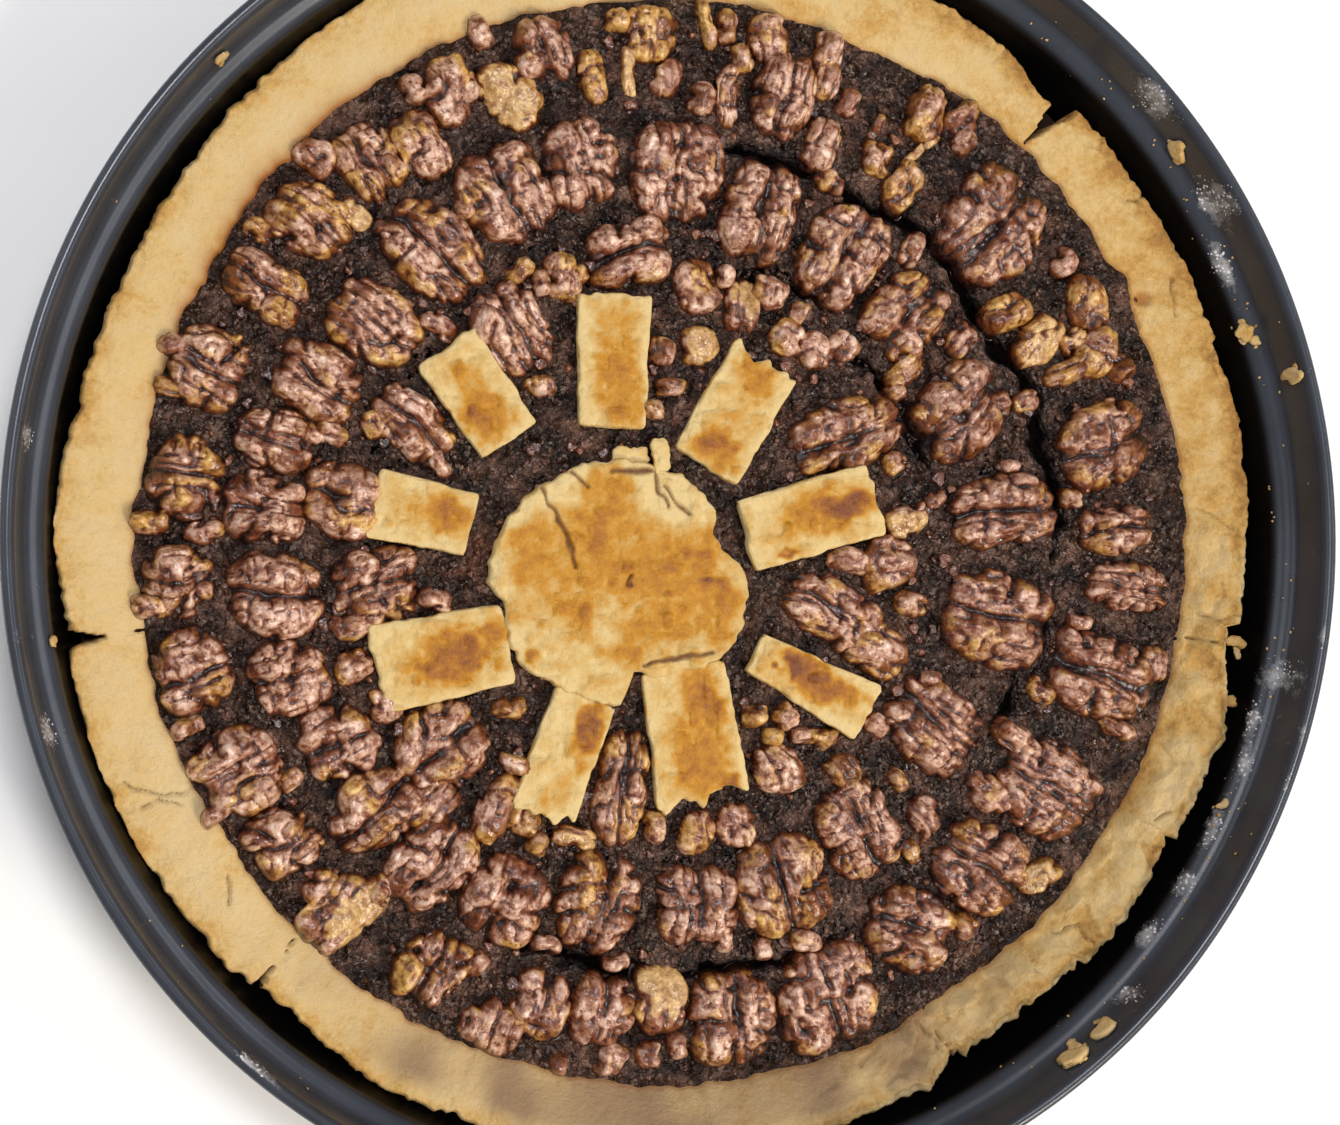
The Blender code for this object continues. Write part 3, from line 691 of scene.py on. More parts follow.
def crust_surface(heap, ragged):
    """The pastry case: rows from the middle of its underside, up behind its edge, across its top and
    down to the middle of its floor. Its top climbs from the lip to the edge, with sandy lumps, flakes
    and splits."""
    columns = CRUST_COLUMNS
    azimuth = (np.arange(columns) * 360.0 / columns)[None, :]
    share = np.linspace(0.0, 1.0, CRUST_ROWS)[::-1, None]
    edge, lip = crust_edge(azimuth, ragged), crust_lip(azimuth)
    radius = lip + (edge - lip) * share
    x, y = polar(azimuth, radius)
    steep = crust_steepness(azimuth)
    climb = np.minimum(share / 0.66, 1.0)
    wall = climb * (1.25 - 0.25 * climb) - 0.16 * smooth_step(0.75, 1.0, share)
    rise = (1.0 - steep) * share**0.9 + steep * wall
    full = 4.1 + 3.4 * steep + 2.2 * bell(degrees_from(azimuth, 178.0), 12.0)
    height = 19.1 + full * rise + 0.7 * soft_noise(x, y, 26.0, 51) * share
    height = height - 1.5 * smooth_step(0.93, 1.0, share) ** 2
    side = degrees_from(azimuth, 0.0)
    coarse = 0.35 + 0.65 * smooth_step(100.0, 60.0, np.abs(side))
    # sandy lumps
    sandy = 0.35 * soft_noise(x, y, 8.0, 52) + 0.4 * coarse * rough_noise(x, y, 3.0, 53)
    height = height + sandy * smooth_step(0.0, 0.2, share)
    # flakes of 5.5 mm, each at its own level
    first, second, own = bent_cells(x, y, 1.5, 4.0, 54, 5.5, 56)
    flake = smooth_step(0.0, 0.16, second - first)
    plates = smooth_step(0.45, 0.95, share) * coarse
    height = height + plates * (0.8 * (own - 0.5) - 0.35 * (1.0 - flake))
    # torn lumps of 9 mm at the lower right
    torn = torn_part(azimuth) * smooth_step(0.0, 0.25, share)
    folded, beside, fold_own = bent_cells(x, y, 2.0, 7.0, 61, 9.0, 63)
    height = height + torn * (2.3 * (fold_own - 0.5) + 1.2 * (0.4 - folded) + 0.9 * soft_noise(x, y, 4.0, 64))
    height = height + (0.08 + 0.3 * torn) * smooth_step(0.05, 0.3, share) * rough_noise(x, y, 1.7, 66)
    # splits, hairline cracks and one small hole that syrup filled
    split = split_share(azimuth, radius)
    top = height - (height - 8.0) * split
    # crease: painted shade in the splits, along the edges of the flakes and the torn folds, and in the
    # hairline cracks below
    crease = split + 0.25 * plates * (1.0 - flake)
    crease = crease + 0.12 * torn * smooth_step(0.06, 0.0, beside - folded)
    fissure = crust_fissures(x, y)
    top = top - 1.3 * fissure * smooth_step(0.0, 0.1, share)
    hole = np.exp(-(((x - 128.2) / 2.6) ** 2 + ((y - 66.5) / 1.9) ** 2) ** 2)
    top = top - 1.4 * hole
    crease = np.clip(crease + 0.45 * fissure, 0, 1)
    # browner toward the edge and at the right, paler where it is torn
    bake = -0.10 + 0.20 * smooth_step(0.55, 1.0, share) + 0.18 * smooth_step(110.0, 40.0, np.abs(side))
    bake = bake + 0.10 * rough_noise(x, y, 16.0, 58) + 0.12 * plates * (own - 0.4)
    bake = bake + 0.14 * torn * (0.1 - fold_own) + 0.16 * torn * rough_noise(x, y, 6.0, 67)
    bake = bake - 0.32 * torn_part(azimuth) * smooth_step(0.8, 0.95, share)
    # painted shade on the crust's inner face round azimuth 268, fading toward its edge
    dull = smooth_step(52.0, 20.0, np.abs(degrees_from(azimuth, 268.0))) * smooth_step(1.0, 0.55, share)
    dull = np.clip(dull * (0.7 + 0.5 * soft_noise(x, y, 12.0, 65)), 0.0, 1.0)
    stained = bell(degrees_from(azimuth, 143.0), 24.0)
    syrup = np.exp(-share * (edge - lip) / (0.5 + 1.5 * stained)) * (0.35 + 0.65 * stained)
    syrup = np.clip(syrup + 0.75 * hole, 0.0, 1.0)
    # the broken outer side of the edge, in three rows under its top
    thick = 3.2 + 0.6 * soft_noise(x[:1], y[:1], 9.0, 59)
    under = []
    for drop, inward in ((0.35, -0.05), (0.7, 0.25), (1.0, 0.9)):
        level = top[:1] - drop * thick
        out = edge - inward - 0.5 * np.abs(soft_noise(x[:1], y[:1] + 9 * drop, 1.8, 60))
        under.append((inside_wall(out, level), level))
    under = under[::-1]
    x, y = polar(azimuth, inside_wall(radius, top))
    low = [(FLOOR_RADIUS - 3.0, 1.1), (152.6, 8.8), (wall_radius(14.0) - 1.2, 14.0)]
    inside = [(lip - 1.2, 17.4), (lip - 4.0, 8.0), (100.0, 6.0)]
    rows = [ring_row(azimuth, r, z) for r, z in low + under]
    rows += list(np.stack([x, y, top], axis=-1))
    rows += [ring_row(azimuth, r, z) for r, z in inside]
    before, after = len(low) + len(under), len(inside)
    points = np.concatenate([np.concatenate(rows), [(0, 0, 1.1)], [(0, 0, 5.9)]])

    def whole(values, first_rows, last_rows):
        shapes = ((first_rows, (before, columns)), (values, x.shape), (last_rows, (after, columns)))
        parts = [np.broadcast_to(part, shape) for part, shape in shapes]
        return np.append(np.concatenate(parts).ravel(), (0.0, 0.0))

    heap.add(points, *turned_faces(len(rows), columns), bake=whole(bake, bake[:1], -0.1),
             crease=whole(crease, crease[:1], 0.2), syrup=whole(syrup, 0.0, 0.8), dull=whole(dull, 0.0, 0.0))


# -------------------------------------------------------------- the filling


def filling_level(x, y):
    """The filling's level without its grain: a low dome with gentle waves."""
    share = np.clip(np.hypot(x, y) / CASE_INNER_RADIUS, 0.0, 1.0)
    wave = 0.3 * soft_noise(x, y, 30.0, 71) * (1.0 - share**6)
    return FILLING_EDGE_HEIGHT + FILLING_RISE * (1.0 - share**3) + wave


# Cracks baked into the filling: radius, azimuths of both ends, half width
FILLING_CRACKS = (
    (102.8, -4.0, 86.0, 2.1), (103.0, -24.0, -3.0, 0.8), (67.5, 14.0, 53.0, 1.7), (71.5, 58.0, 87.0, 1.5),
    (112.4, 243.0, 293.0, 1.3), (99.0, 324.0, 341.0, 0.7),
)


def crack_share(x, y):
    """How deep in a baked crack a point lies, 0 to 1: each crack follows an arc round the pie with a
    jagged line."""
    radius, azimuth = np.hypot(x, y), np.degrees(np.arctan2(y, x))
    jag = waves(x, y, (2.2, 13.0, 81), (1.2, 5.0, 82), (0.6, 2.2, 84))
    share = np.zeros(np.shape(radius))
    for middle, start, end, width in FILLING_CRACKS:
        past = (azimuth - start) % 360.0
        open_here = np.clip(np.minimum(past, end - start - past) / 7.0, 0.0, 1.0) * (past < end - start)
        half = np.maximum(width * open_here * (1.15 + 0.6 * soft_noise(x, y, 5.0, 83)), 1e-3)
        share = np.maximum(share, (open_here > 0) * np.exp(-np.abs((radius - middle - jag) / half) ** 2.4))
    return share


def filling_surface(x, y, grain):
    """The filling's top in millimetres, its crease, which is painted shade in its cracks and between its
    crumbs and lumps, and its redness: the level, soft lumps of 9 and 4.5 mm, packed rounded crumbs of 2.4 mm
    and cracks that drop 6 mm."""
    radius = np.hypot(x, y)
    first, _, own = bent_cells(x, y, 0.8, 2.6, 91, 2.4, 93)
    crumbs = (1.0 - first * first) * (0.4 + 0.9 * own)
    big, _, tall = bent_cells(x, y, 1.0, 4.0, 97, 4.6, 99)
    lumps = 0.5 * soft_noise(x, y, 9.0, 94) + 1.2 * (0.5 - big * big) * (0.3 + tall) + 1.3 * (crumbs - 0.55)
    height = filling_level(x, y) + grain * lumps * smooth_step(142.5, 137.0, radius)
    crack = crack_share(x, y)
    away = np.hypot(x + 17.0, y + 9.0)
    turn = degrees_from(np.degrees(np.arctan2(y + 9.0, x + 17.0)), 0.0)
    ruddy = smooth_step(52.0, 42.0, away + 4.0 * soft_noise(x, y, 12.0, 96))
    ruddy = ruddy * smooth_step(-30.0, 0.0, turn) * smooth_step(-160.0, -172.0, -np.abs(turn))
    # painted shade: black in the cracks, darker between the crumbs and round the lumps
    crease = np.clip(crack * 1.2 + 0.5 * (1.0 - crumbs) ** 2 + 0.5 * big**3, 0.0, 1.0)
    return height - 3.6 * crack * smooth_step(140.0, 134.0, radius), crease, ruddy


def filling_middle(heap, grain, count, reach):
    """The middle of the filling: a square grid drawn round, closed underneath."""
    u, v = unit_disc(count)
    x, y = u * reach, v * reach
    height, crease, ruddy = filling_surface(x, y, grain)
    add_dome(heap, (x, y, height), (0, 0, FILLING_UNDERSIDE), crease=crease, ruddy=ruddy)


def filling_border(heap, grain, count, reach):
    """The outer band of the filling: a closed ring whose top meets the middle's edge point for point."""
    columns = 4 * (count - 1)
    azimuth = (45.0 + np.arange(columns) * 360.0 / columns)[None, :]
    inner = reach - 1.0
    radius = np.concatenate([[inner], np.linspace(reach, FILLING_REACH, FILLING_ROWS)])
    radius = radius[:, None] + np.zeros(columns)
    x, y = polar(azimuth, radius)
    height, crease, ruddy = filling_surface(x, y, grain)
    height[0] -= 0.6
    under = ((FILLING_REACH, 16.0), (136.0, FILLING_UNDERSIDE), (inner, FILLING_UNDERSIDE))
    rows = [ring_row(azimuth, r, z) for r, z in under]
    points = np.concatenate([np.stack([x, y, height], axis=-1).reshape(-1, 3), *rows])
    count_rows = len(radius) + len(rows)
    column = np.arange(columns)
    after, last = (column + 1) % columns, (count_rows - 1) * columns
    join = np.stack([last + column, last + after, after, column], axis=-1)
    quads = np.concatenate([grid_quads(count_rows, columns, True), join])[:, ::-1]
    pad = np.zeros(len(rows) * columns)
    heap.add(points, quads, crease=np.append(crease.ravel(), pad), ruddy=np.append(ruddy.ravel(), pad))


# -------------------------------------------------------------- the walnuts


def dome_faces(count):
    """Faces of a square grid seen from above, and a fan from its edge to one point beneath."""
    top = np.arange(count * count).reshape(count, count)
    upper = np.stack([top[:-1, :-1], top[1:, :-1], top[1:, 1:], top[:-1, 1:]], axis=-1).reshape(-1, 4)
    rim = np.concatenate([top[:-1, 0], top[-1, :-1], top[:0:-1, -1], top[0, :0:-1]])
    fan = np.stack([np.full(len(rim), count * count), np.roll(rim, -1), rim], axis=-1)
    return upper, fan


def add_dome(heap, surface, beneath, **values):
    """A square grid of points, from its X, Y and height, closed down to one point beneath."""
    points = np.concatenate([np.stack(surface, axis=-1).reshape(-1, 3), [beneath]])
    values = {name: np.append(value.ravel(), 0) for name, value in values.items()}
    heap.add(points, *dome_faces(len(surface[0])), **values)


def fold_lines(random, counts):
    """The folds that run in from a nut's outline, for its right and left side: side, place along, lean,
    how far in it reaches and how deep it is, all as shares."""
    lines = []
    for side, count in zip((-1, 1), counts):
        spots = np.linspace(-0.62, 0.62, count) if count > 1 else np.zeros(count)
        for spot in spots + random.uniform(-0.16, 0.16, count):
            reach = random.uniform(0.3, 0.85)
            lines.append((side, spot, random.uniform(-0.5, 0.5), reach, random.uniform(0.4, 1.0)))
    return lines


def fold_shares(u, share, side, lines, a, shift):
    """How sharply and how softly the folds press in at each point, and how they notch the outline. Each
    fold is a curve across a lobe: its place along is spot times a, less toward the middle, with a lean
    and a slow wander."""
    sharp, soft, notch = np.zeros(u.shape), np.zeros(u.shape), np.zeros(u.shape)
    for number, (own_side, spot, lean, reach, depth) in enumerate(lines):
        wander = 0.9 * soft_noise(3.0 * share + 7.0 * number, share * 0 + shift, 1.0, 121)
        away = np.abs(u - a * (spot * (0.66 + 0.4 * share) + lean * (1.0 - share)) - wander)
        here = smooth_step(0.0, 0.12, own_side * side) * smooth_step(1.0 - reach, 1.25 - reach, share) * depth
        sharp = np.maximum(sharp, here * np.exp(-away / 0.42))
        soft = np.maximum(soft, here * bell(away, 1.4))
        notch = np.maximum(notch, here * bell(away, 1.3) * smooth_step(0.45, 0.9, share))
    return sharp, soft, notch


def blurred(values, times):
    """Values on a grid, averaged with their four neighbours several times."""
    for _ in range(times):
        padded = np.pad(values, 1, mode="edge")
        beside = padded[:-2, 1:-1] + padded[2:, 1:-1] + padded[1:-1, :-2] + padded[1:-1, 2:]
        values = 0.2 * (values + beside)
    return values


def add_walnut(
    heap, sizes, seed, middle, heading, length, width, lobes=0, tone=0.0, cut=None, count=60, lift=0.0
):
    """One nut on the filling. Its plan is a superellipse of power 2.6 and its top height times (1 -
    d^3)^0.6, with d the share of the way out. A half rises in two long lobes, each a half round across,
    beside a wandering valley with ridges in it, and is notched at both ends. Folds run in from the
    outline, long wrinkles wind over the skin, and a slanting plane clips it where it broke. Points past
    the outline gather on it, as its flank. lobes is 0 for a half."""
    random = np.random.default_rng(seed)
    shift = 40.0 * seed
    a, b = length / 2.0, width / 2.0
    height = sizes.walnut_height / MM * np.clip(0.5 + 0.5 * min(length, 1.25 * width) / 26.0, 0.0, 1.08)
    half = lobes == 0
    along, across = np.linspace(-0.57, 0.57, count) * length, np.linspace(-0.58, 0.58, count) * width
    u, v = np.meshgrid(along, across, indexing="ij")
    own_u = u + shift
    warped_u = u + waves(own_u, v, (0.9, 8.0, 101), (0.25, 2.8, 102))
    warped_v = v + waves(own_u, v, (1.1, 8.0, 103), (0.25, 2.8, 104))
    centre = (0.12 if half else 0.25) * b * soft_noise(own_u, u * 0, 0.7 * length, 105)
    side = (warped_v - centre) / b
    share, end = np.abs(side), np.abs(warped_u) / a
    counts = random.integers(1, 4, 2) if half else random.integers(0, lobes + 1, 2)
    sharp, soft, notch = fold_shares(warped_u, share, side, fold_lines(random, counts), a, shift)
    away = (end**2.6 + share**2.6) ** (1 / 2.6) + 0.07 * notch + 0.03 * soft_noise(own_u, v, 5.0, 106)
    if half:
        away = away + 0.13 * bell(share, 0.17) * end**2
    dome = np.maximum(1.0 - np.minimum(away, 1.0) ** 3, 0.0) ** 0.6
    top = height * np.where(away < 1.0, dome, 3.2 * (1.0 - away))
    valley = np.zeros(u.shape)
    if half:
        bridge = 0.4 * bell(warped_u - random.uniform(-0.4, 0.4) * a, 2.8)
        round_lobe = np.sqrt(np.clip(1.0 - ((share - 0.56) / 0.58) ** 2, 0.0, 1.0))
        valley = (1.0 - round_lobe) * smooth_step(0.6, 0.4, share) * (1.0 - bridge)
        ridges = soft_noise(warped_u / 5.0 + shift, side * b, 1.15, 107)
        top = top - np.maximum(top, 0.0) * 0.72 * valley + 0.6 * bell(share, 0.26) * ridges
    # long wrinkles and knobs over the skin, and the folds pressed into it
    inside = smooth_step(-1.0, 1.5, top)
    depth = sizes.fold_depth / MM
    crumple = soft_noise(own_u, v, 6.0, 108)
    lump = np.sqrt(np.abs(soft_noise(warped_u / 1.9 + shift, warped_v, 4.4, 109)))
    knob = np.sqrt(np.abs(soft_noise(warped_u / 1.4 + shift, warped_v, 2.2, 110)))
    streak = soft_noise(warped_u / 3.0 + shift, warped_v, 1.1, 111)
    wrinkle, fine = np.exp(-lump / 0.22), np.exp(-knob / 0.22)
    skin = 0.7 * crumple + 2.1 * (lump - 0.6) + 1.15 * (knob - 0.6) + 0.3 * streak
    top = top + inside * depth * (skin - 1.2 * sharp - 1.3 * soft)
    flesh = np.zeros(u.shape)
    if cut is not None:
        toward, at, slope = cut
        plane = at * height + slope * (u * math.cos(toward) + v * math.sin(toward))
        plane = plane + 0.9 * soft_noise(own_u, v, 5.0, 112) + 0.3 * rough_noise(own_u, v, 1.8, 113)
        flesh = smooth_step(0.0, 0.3, top - plane)
        top = np.where(top > plane, plane + 0.3 * (top - plane), top)
    # painted shade: dark where the skin lies lower than what is round it, in the folds and the valley and low
    # on the flanks
    cavity_shade = np.clip((blurred(top, 8) - top) / 0.45, 0.0, 1.0)
    cavity_shade = cavity_shade + np.clip((blurred(top, 40) - top) / 1.3, 0.0, 1.0)
    low = smooth_step(0.55 * height, -0.2, top)
    crease = 0.5 * sharp + 0.2 * soft + 0.5 * wrinkle + 0.25 * fine + 0.5 * cavity_shade + 0.3 * valley + 0.9 * low
    crease = np.clip(crease, 0.0, 1.0) * (1.0 - 0.7 * flesh)
    top = np.maximum(top, -2.5)
    # real dark stains, added to the painted shade, and the nuts on the right of the pie a little darker
    stain = peaks(own_u, v, 4.6, 115, 0.1) + 0.5 * peaks(own_u, v, 2.0, 116, 0.2)
    crease = np.clip(crease + 0.45 * stain + 0.08 * smooth_step(20.0, 85.0, middle[0]), 0.0, 1.0)
    mottle = tone + 0.42 * soft_noise(own_u, v, 5.0, 114) + 0.16 * streak - 0.2 * valley
    mottle = mottle + 0.16 * smooth_step(0.55, 0.95, away)
    gather = np.minimum(1.0, 1.05 / np.maximum(away, 0.2))
    c, s = math.cos(heading), math.sin(heading)
    x, y = middle[0] + gather * (u * c - v * s), middle[1] + gather * (u * s + v * c)
    base = float(filling_level(middle[0], middle[1])) + 0.2 + lift
    add_dome(heap, (x, y, top + base), (*middle, base - 3.2), crease=crease, tone=mottle, flesh=flesh)


def add_ring(heap, sizes, prefix, seed):
    """The halves of one ring, each where its solid lies."""
    names = [name for name in sorted(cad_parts) if name.startswith(prefix)]
    random = np.random.default_rng(seed)
    for number, name in enumerate(names):
        lie = lie_of(name)
        tone = random.uniform(-0.22, 0.16)
        add_walnut(heap, sizes, seed + number, **lie, tone=tone)
    return names


# Further pieces: X, Y, length, width, heading in degrees, lobes (0 is a half), tone and, of a broken one, how
# much of the height is left
OUTER_PIECES = (
    (88.4, 60.8, 15, 9, 20, 2, 0.45), (97.2, 54.0, 16, 10, 35, 2, 0.45, 0.6),
    (110.9, 65.0, 13, 12, 70, 2, 0.4), (113.0, 52.5, 15, 10, 60, 2, 0.1),
    (105.0, 45.6, 14, 6, 20, 2, 0.3), (93.2, 37.5, 8, 6, 10, 1, 0.2), (65.2, 113.8, 14, 12, 60, 2, 0.3),
    (75.1, 113.0, 12, 8, 40, 2, 0.0), (59.2, 93.8, 14, 9, 50, 2, 0.35), (51.2, 101.3, 10, 8, 70, 1, 0.3),
    (38.3, 128.9, 12, 8, 80, 1, 0.0), (36.3, 104.0, 14, 9, 75, 2, 0.1), (21.3, 131.8, 12, 11, 85, 2, 0.0),
    (10.4, 133.9, 9, 6, 90, 1, 0.1), (10.4, 115.9, 18, 6, 88, 2, -0.1), (4.4, 134.9, 12, 4, 100, 1, 0.4),
    (-11.6, 130.8, 14, 14, 90, 2, 0.4), (-16.5, 120.8, 14, 3.6, 100, 1, 0.6, 0.5),
    (-25.5, 118.9, 14, 7, 95, 2, 0.35), (-39.5, 124.9, 16, 15, 105, 0, -0.05),
    (-47.4, 113.0, 18, 13, 110, 3, 0.3, 0.65), (-62.9, 113.9, 16, 12, 118, 2, 0.05),
    (-69.4, 100.0, 18, 12, 124, 3, 0.0), (-86.3, 82.0, 9, 6, 135, 1, 0.5, 0.5),
    (-98.2, 79.0, 20, 16, 140, 0, 0.3), (-89.3, -94.0, 22, 14, 226, 3, 0.2, 0.6),
    (-40.5, -119.0, 17, 15, 250, 0, 0.05), (-49.4, -125.0, 14, 12, 248, 2, -0.15),
    (-23.5, -121.0, 18, 16, 258, 0, -0.1), (-21.5, -133.5, 8, 8, 260, 1, -0.1),
    (-11.2, -133.0, 7, 7, 265, 1, -0.05), (-34.5, -134.0, 6, 5, 255, 1, 0.0),
    (-9.6, -118.0, 17, 13, 265, 2, 0.2, 0.6), (119.9, -50.6, 13, 5, -22, 1, 0.15),
    (89.6, -51.6, 11, 7, -30, 1, 0.15), (82.0, -67.0, 13, 9, -40, 2, 0.1),
)
INNER_PIECES = (
    (-16.6, 73.2, 22, 16, 10, 0, -0.1), (-34.5, 66.7, 12, 9, 80, 1, 0.1),
    (-47.5, 53.2, 22, 17, 120, 0, -0.25), (-90.3, 9.9, 20, 17, 170, 0, 0.0),
    (-87.3, -33.0, 10, 8, 200, 1, 0.0), (-65.4, -52.0, 22, 20, 220, 0, -0.05),
    (-50.4, -67.9, 18, 9, 240, 2, 0.1), (-40.5, -77.0, 6, 6, 240, 1, 0.3),
    (-18.6, -63.5, 28, 14, 262, 0, 0.05), (1.4, -75.6, 11, 9, 270, 1, 0.1),
    (12.1, -74.4, 11, 10, 275, 1, 0.0), (17.3, -46.6, 7, 7, 0, 1, 0.4), (22.3, -51.5, 6, 5, 0, 1, 0.3),
    (29.2, -51.5, 6, 5, 0, 1, 0.0), (36.2, -52.5, 6, 5, 0, 1, 0.0), (23.9, -59.7, 14, 12, 290, 2, -0.2),
    (41.2, -60.0, 9, 8, 300, 1, 0.3), (39.2, -20.0, 28, 16, -30, 0, 0.0),
    (51.2, -28.0, 15, 13, -30, 2, 0.3), (53.8, -6.5, 15, 13, 10, 2, 0.05),
    (43.2, -6.0, 11, 7, -15, 1, 0.0), (59.1, 6.0, 12, 8, 10, 2, 0.0, 0.6),
    (42.2, 27.3, 30, 17, 20, 0, 0.15), (24.9, 53.3, 9, 9, 60, 1, 0.1), (33.6, 49.8, 9, 10, 50, 1, 0.0),
    (41.2, 51.8, 8, 9, 50, 1, 0.05), (13.3, 60.8, 14, 9, 90, 1, 0.0, 0.7),
    (1.4, 65.3, 14, 11, 90, 1, 0.15), (1.9, 50.4, 11, 9, 95, 1, 0.35, 0.6),
)


# Small lobes and splinters that fill the gaps between them
FILLER_PIECES = (
    (-97, 95, 10, 9, 130, 1, 0.0), (-110, 77, 8, 6, 150, 1, 0.1), (-132, 47, 8, 6, 160, 1, -0.1),
    (-132, 38, 8, 5, 170, 1, 0.35), (-93, 27, 8, 6, 160, 1, 0.15), (-83, 28, 8, 6, 110, 1, 0.1),
    (-65, 19, 7, 5, 130, 1, -0.1), (-66, 54, 11, 6, 150, 1, -0.3), (-76, 59, 8, 6, 120, 1, 0.0),
    (-46, 69, 7, 6, 60, 1, 0.1), (-40, 66, 7, 5, 100, 1, -0.05), (-31, 68, 6, 6, 90, 1, 0.3),
    (-40, 39, 6, 7, 100, 1, 0.25), (-8, 49, 8, 7, 80, 1, 0.05), (-6, 40, 5, 8, 90, 1, 0.2),
    (-10, 34, 5, 6, 90, 1, 0.0), (-19, 134, 6, 8, 90, 1, 0.3), (-6, 120, 9, 8, 90, 1, -0.15),
    (-59, 115, 8, 7, 110, 1, 0.0), (-72, 114, 8, 7, 120, 1, 0.05), (-137, 5, 9, 7, 175, 1, 0.25),
    (-124, 2, 9, 6, 185, 1, 0.1), (-97, 27, 6, 5, 150, 1, 0.0), (-59, 84, 7, 6, 120, 1, -0.1),
    (-55, 129, 8, 6, 115, 1, -0.2), (-78, 76, 7, 5, 130, 1, 0.1), (-52, 59, 6, 5, 110, 1, -0.1),
    (-72, 24, 6, 5, 140, 1, -0.1), (13, 126, 8, 6, 90, 1, 0.25), (3, 115, 8, 8, 90, 1, -0.2),
    (38, 121, 11, 7, 65, 1, 0.05), (43, 116, 8, 6, 60, 1, 0.05), (37, 95, 6, 8, 60, 1, 0.1),
    (52, 109, 8, 4, 60, 1, 0.35), (64, 104, 13, 3, 42, 1, 0.6, 0.6), (76, 107, 8, 6, 45, 1, -0.1),
    (104, 76, 8, 7, 40, 1, -0.15), (58, 45, 12, 7, 28, 1, 0.3), (75, 54, 10, 7, 40, 1, 0.25),
    (56, 39, 5, 6, 30, 1, 0.35), (56, 21, 7, 6, 15, 1, 0.2), (22, 65, 9, 9, 70, 1, -0.05),
    (9, 69, 7, 5, 85, 1, 0.0), (61, 77, 10, 6, 50, 1, -0.25), (107, 11, 7, 6, 5, 1, 0.2),
    (121, 47, 8, 7, 20, 1, 0.25), (107, 54, 9, 6, 30, 1, 0.6, 0.7), (67, 12, 6, 5, 10, 1, -0.2),
    (29, 59, 6, 5, 60, 1, 0.0), (49, 58, 6, 5, 45, 1, -0.1), (117, 36, 7, 5, 15, 1, -0.2),
    (88, 20, 6, 4, 10, 1, -0.2), (-137, -17, 10, 6, 190, 1, 0.3), (-88, -22, 12, 6, 175, 1, 0.0),
    (-67, -15, 9, 6, 170, 1, 0.0), (-128, -47, 8, 5, 200, 1, 0.0), (-124, -57, 8, 7, 205, 1, 0.3),
    (-121, -68, 9, 5, 210, 1, 0.0), (-80, -42, 10, 8, 100, 1, -0.1), (-66, -66, 12, 9, 220, 2, -0.25),
    (-46, -57, 8, 5, 170, 1, 0.3), (-48, -42, 9, 6, 170, 1, 0.15), (-45, -71, 9, 8, 240, 1, 0.25),
    (-31, -77, 10, 6, 165, 1, 0.45, 0.75), (-10, -74, 8, 6, 265, 1, 0.0), (-95, -88, 10, 8, 228, 1, 0.2),
    (-92, -101, 9, 6, 222, 1, 0.0), (-81, -88, 8, 6, 230, 1, 0.1), (-57, -123, 9, 7, 240, 1, -0.1),
    (-38, -104, 8, 5, 180, 1, 0.05), (-4, -131, 7, 6, 270, 1, -0.15), (-108, -29, 6, 5, 190, 1, 0.0),
    (-103, -60, 7, 5, 215, 1, -0.1), (-121, -36, 6, 5, 190, 1, 0.0), (-56, -108, 7, 5, 240, 1, -0.1),
    (-20, -108, 7, 5, 200, 1, 0.0), (60, -17, 7, 9, 80, 1, 0.2), (98, -40, 9, 6, -25, 1, 0.4),
    (131, -33, 10, 7, 80, 1, -0.05), (26, -46, 7, 7, -50, 1, 0.0), (56, -64, 7, 5, -50, 1, 0.05),
    (64, -74, 11, 9, -50, 2, -0.05), (61, -82, 7, 5, -50, 1, 0.5, 0.8), (51, -49, 7, 6, -45, 1, -0.1),
    (16, -96, 8, 6, -80, 1, 0.1), (31, -106, 9, 6, -10, 1, 0.0), (46, -110, 7, 6, -60, 1, 0.35),
    (76, -103, 8, 7, -50, 1, 0.25), (97, -90, 13, 8, 20, 2, 0.6, 0.75), (86, -70, 6, 5, -40, 1, 0.0),
    (70, -60, 6, 5, -40, 1, -0.1), (20, -107, 6, 5, -80, 1, 0.0), (34, -52, 6, 5, 0, 1, 0.2),
    (108, -23, 7, 5, -10, 1, -0.1), (66, -37, 6, 5, -20, 1, -0.1), (9, -104, 6, 5, -80, 1, -0.1),
)


def add_pieces(heap, sizes, places, seed):
    """Smaller halves and broken nuts from a table of places."""
    random = np.random.default_rng(seed)
    for number, (x, y, length, width, heading, lobes, tone, *left) in enumerate(places):
        cut = (random.uniform(0, 6.3), left[0], BREAK_SLOPE) if left else None
        count = int(np.clip(round(length * 2.3), 16, 54))
        lift = -0.4 if lobes == 1 else 0.0
        add_walnut(heap, sizes, seed + number, (x, y), math.radians(heading), 1.1 * length, 1.12 * width,
                   lobes=lobes, tone=tone, cut=cut, count=count, lift=lift)


# ------------------------------------------------------------------ the sun


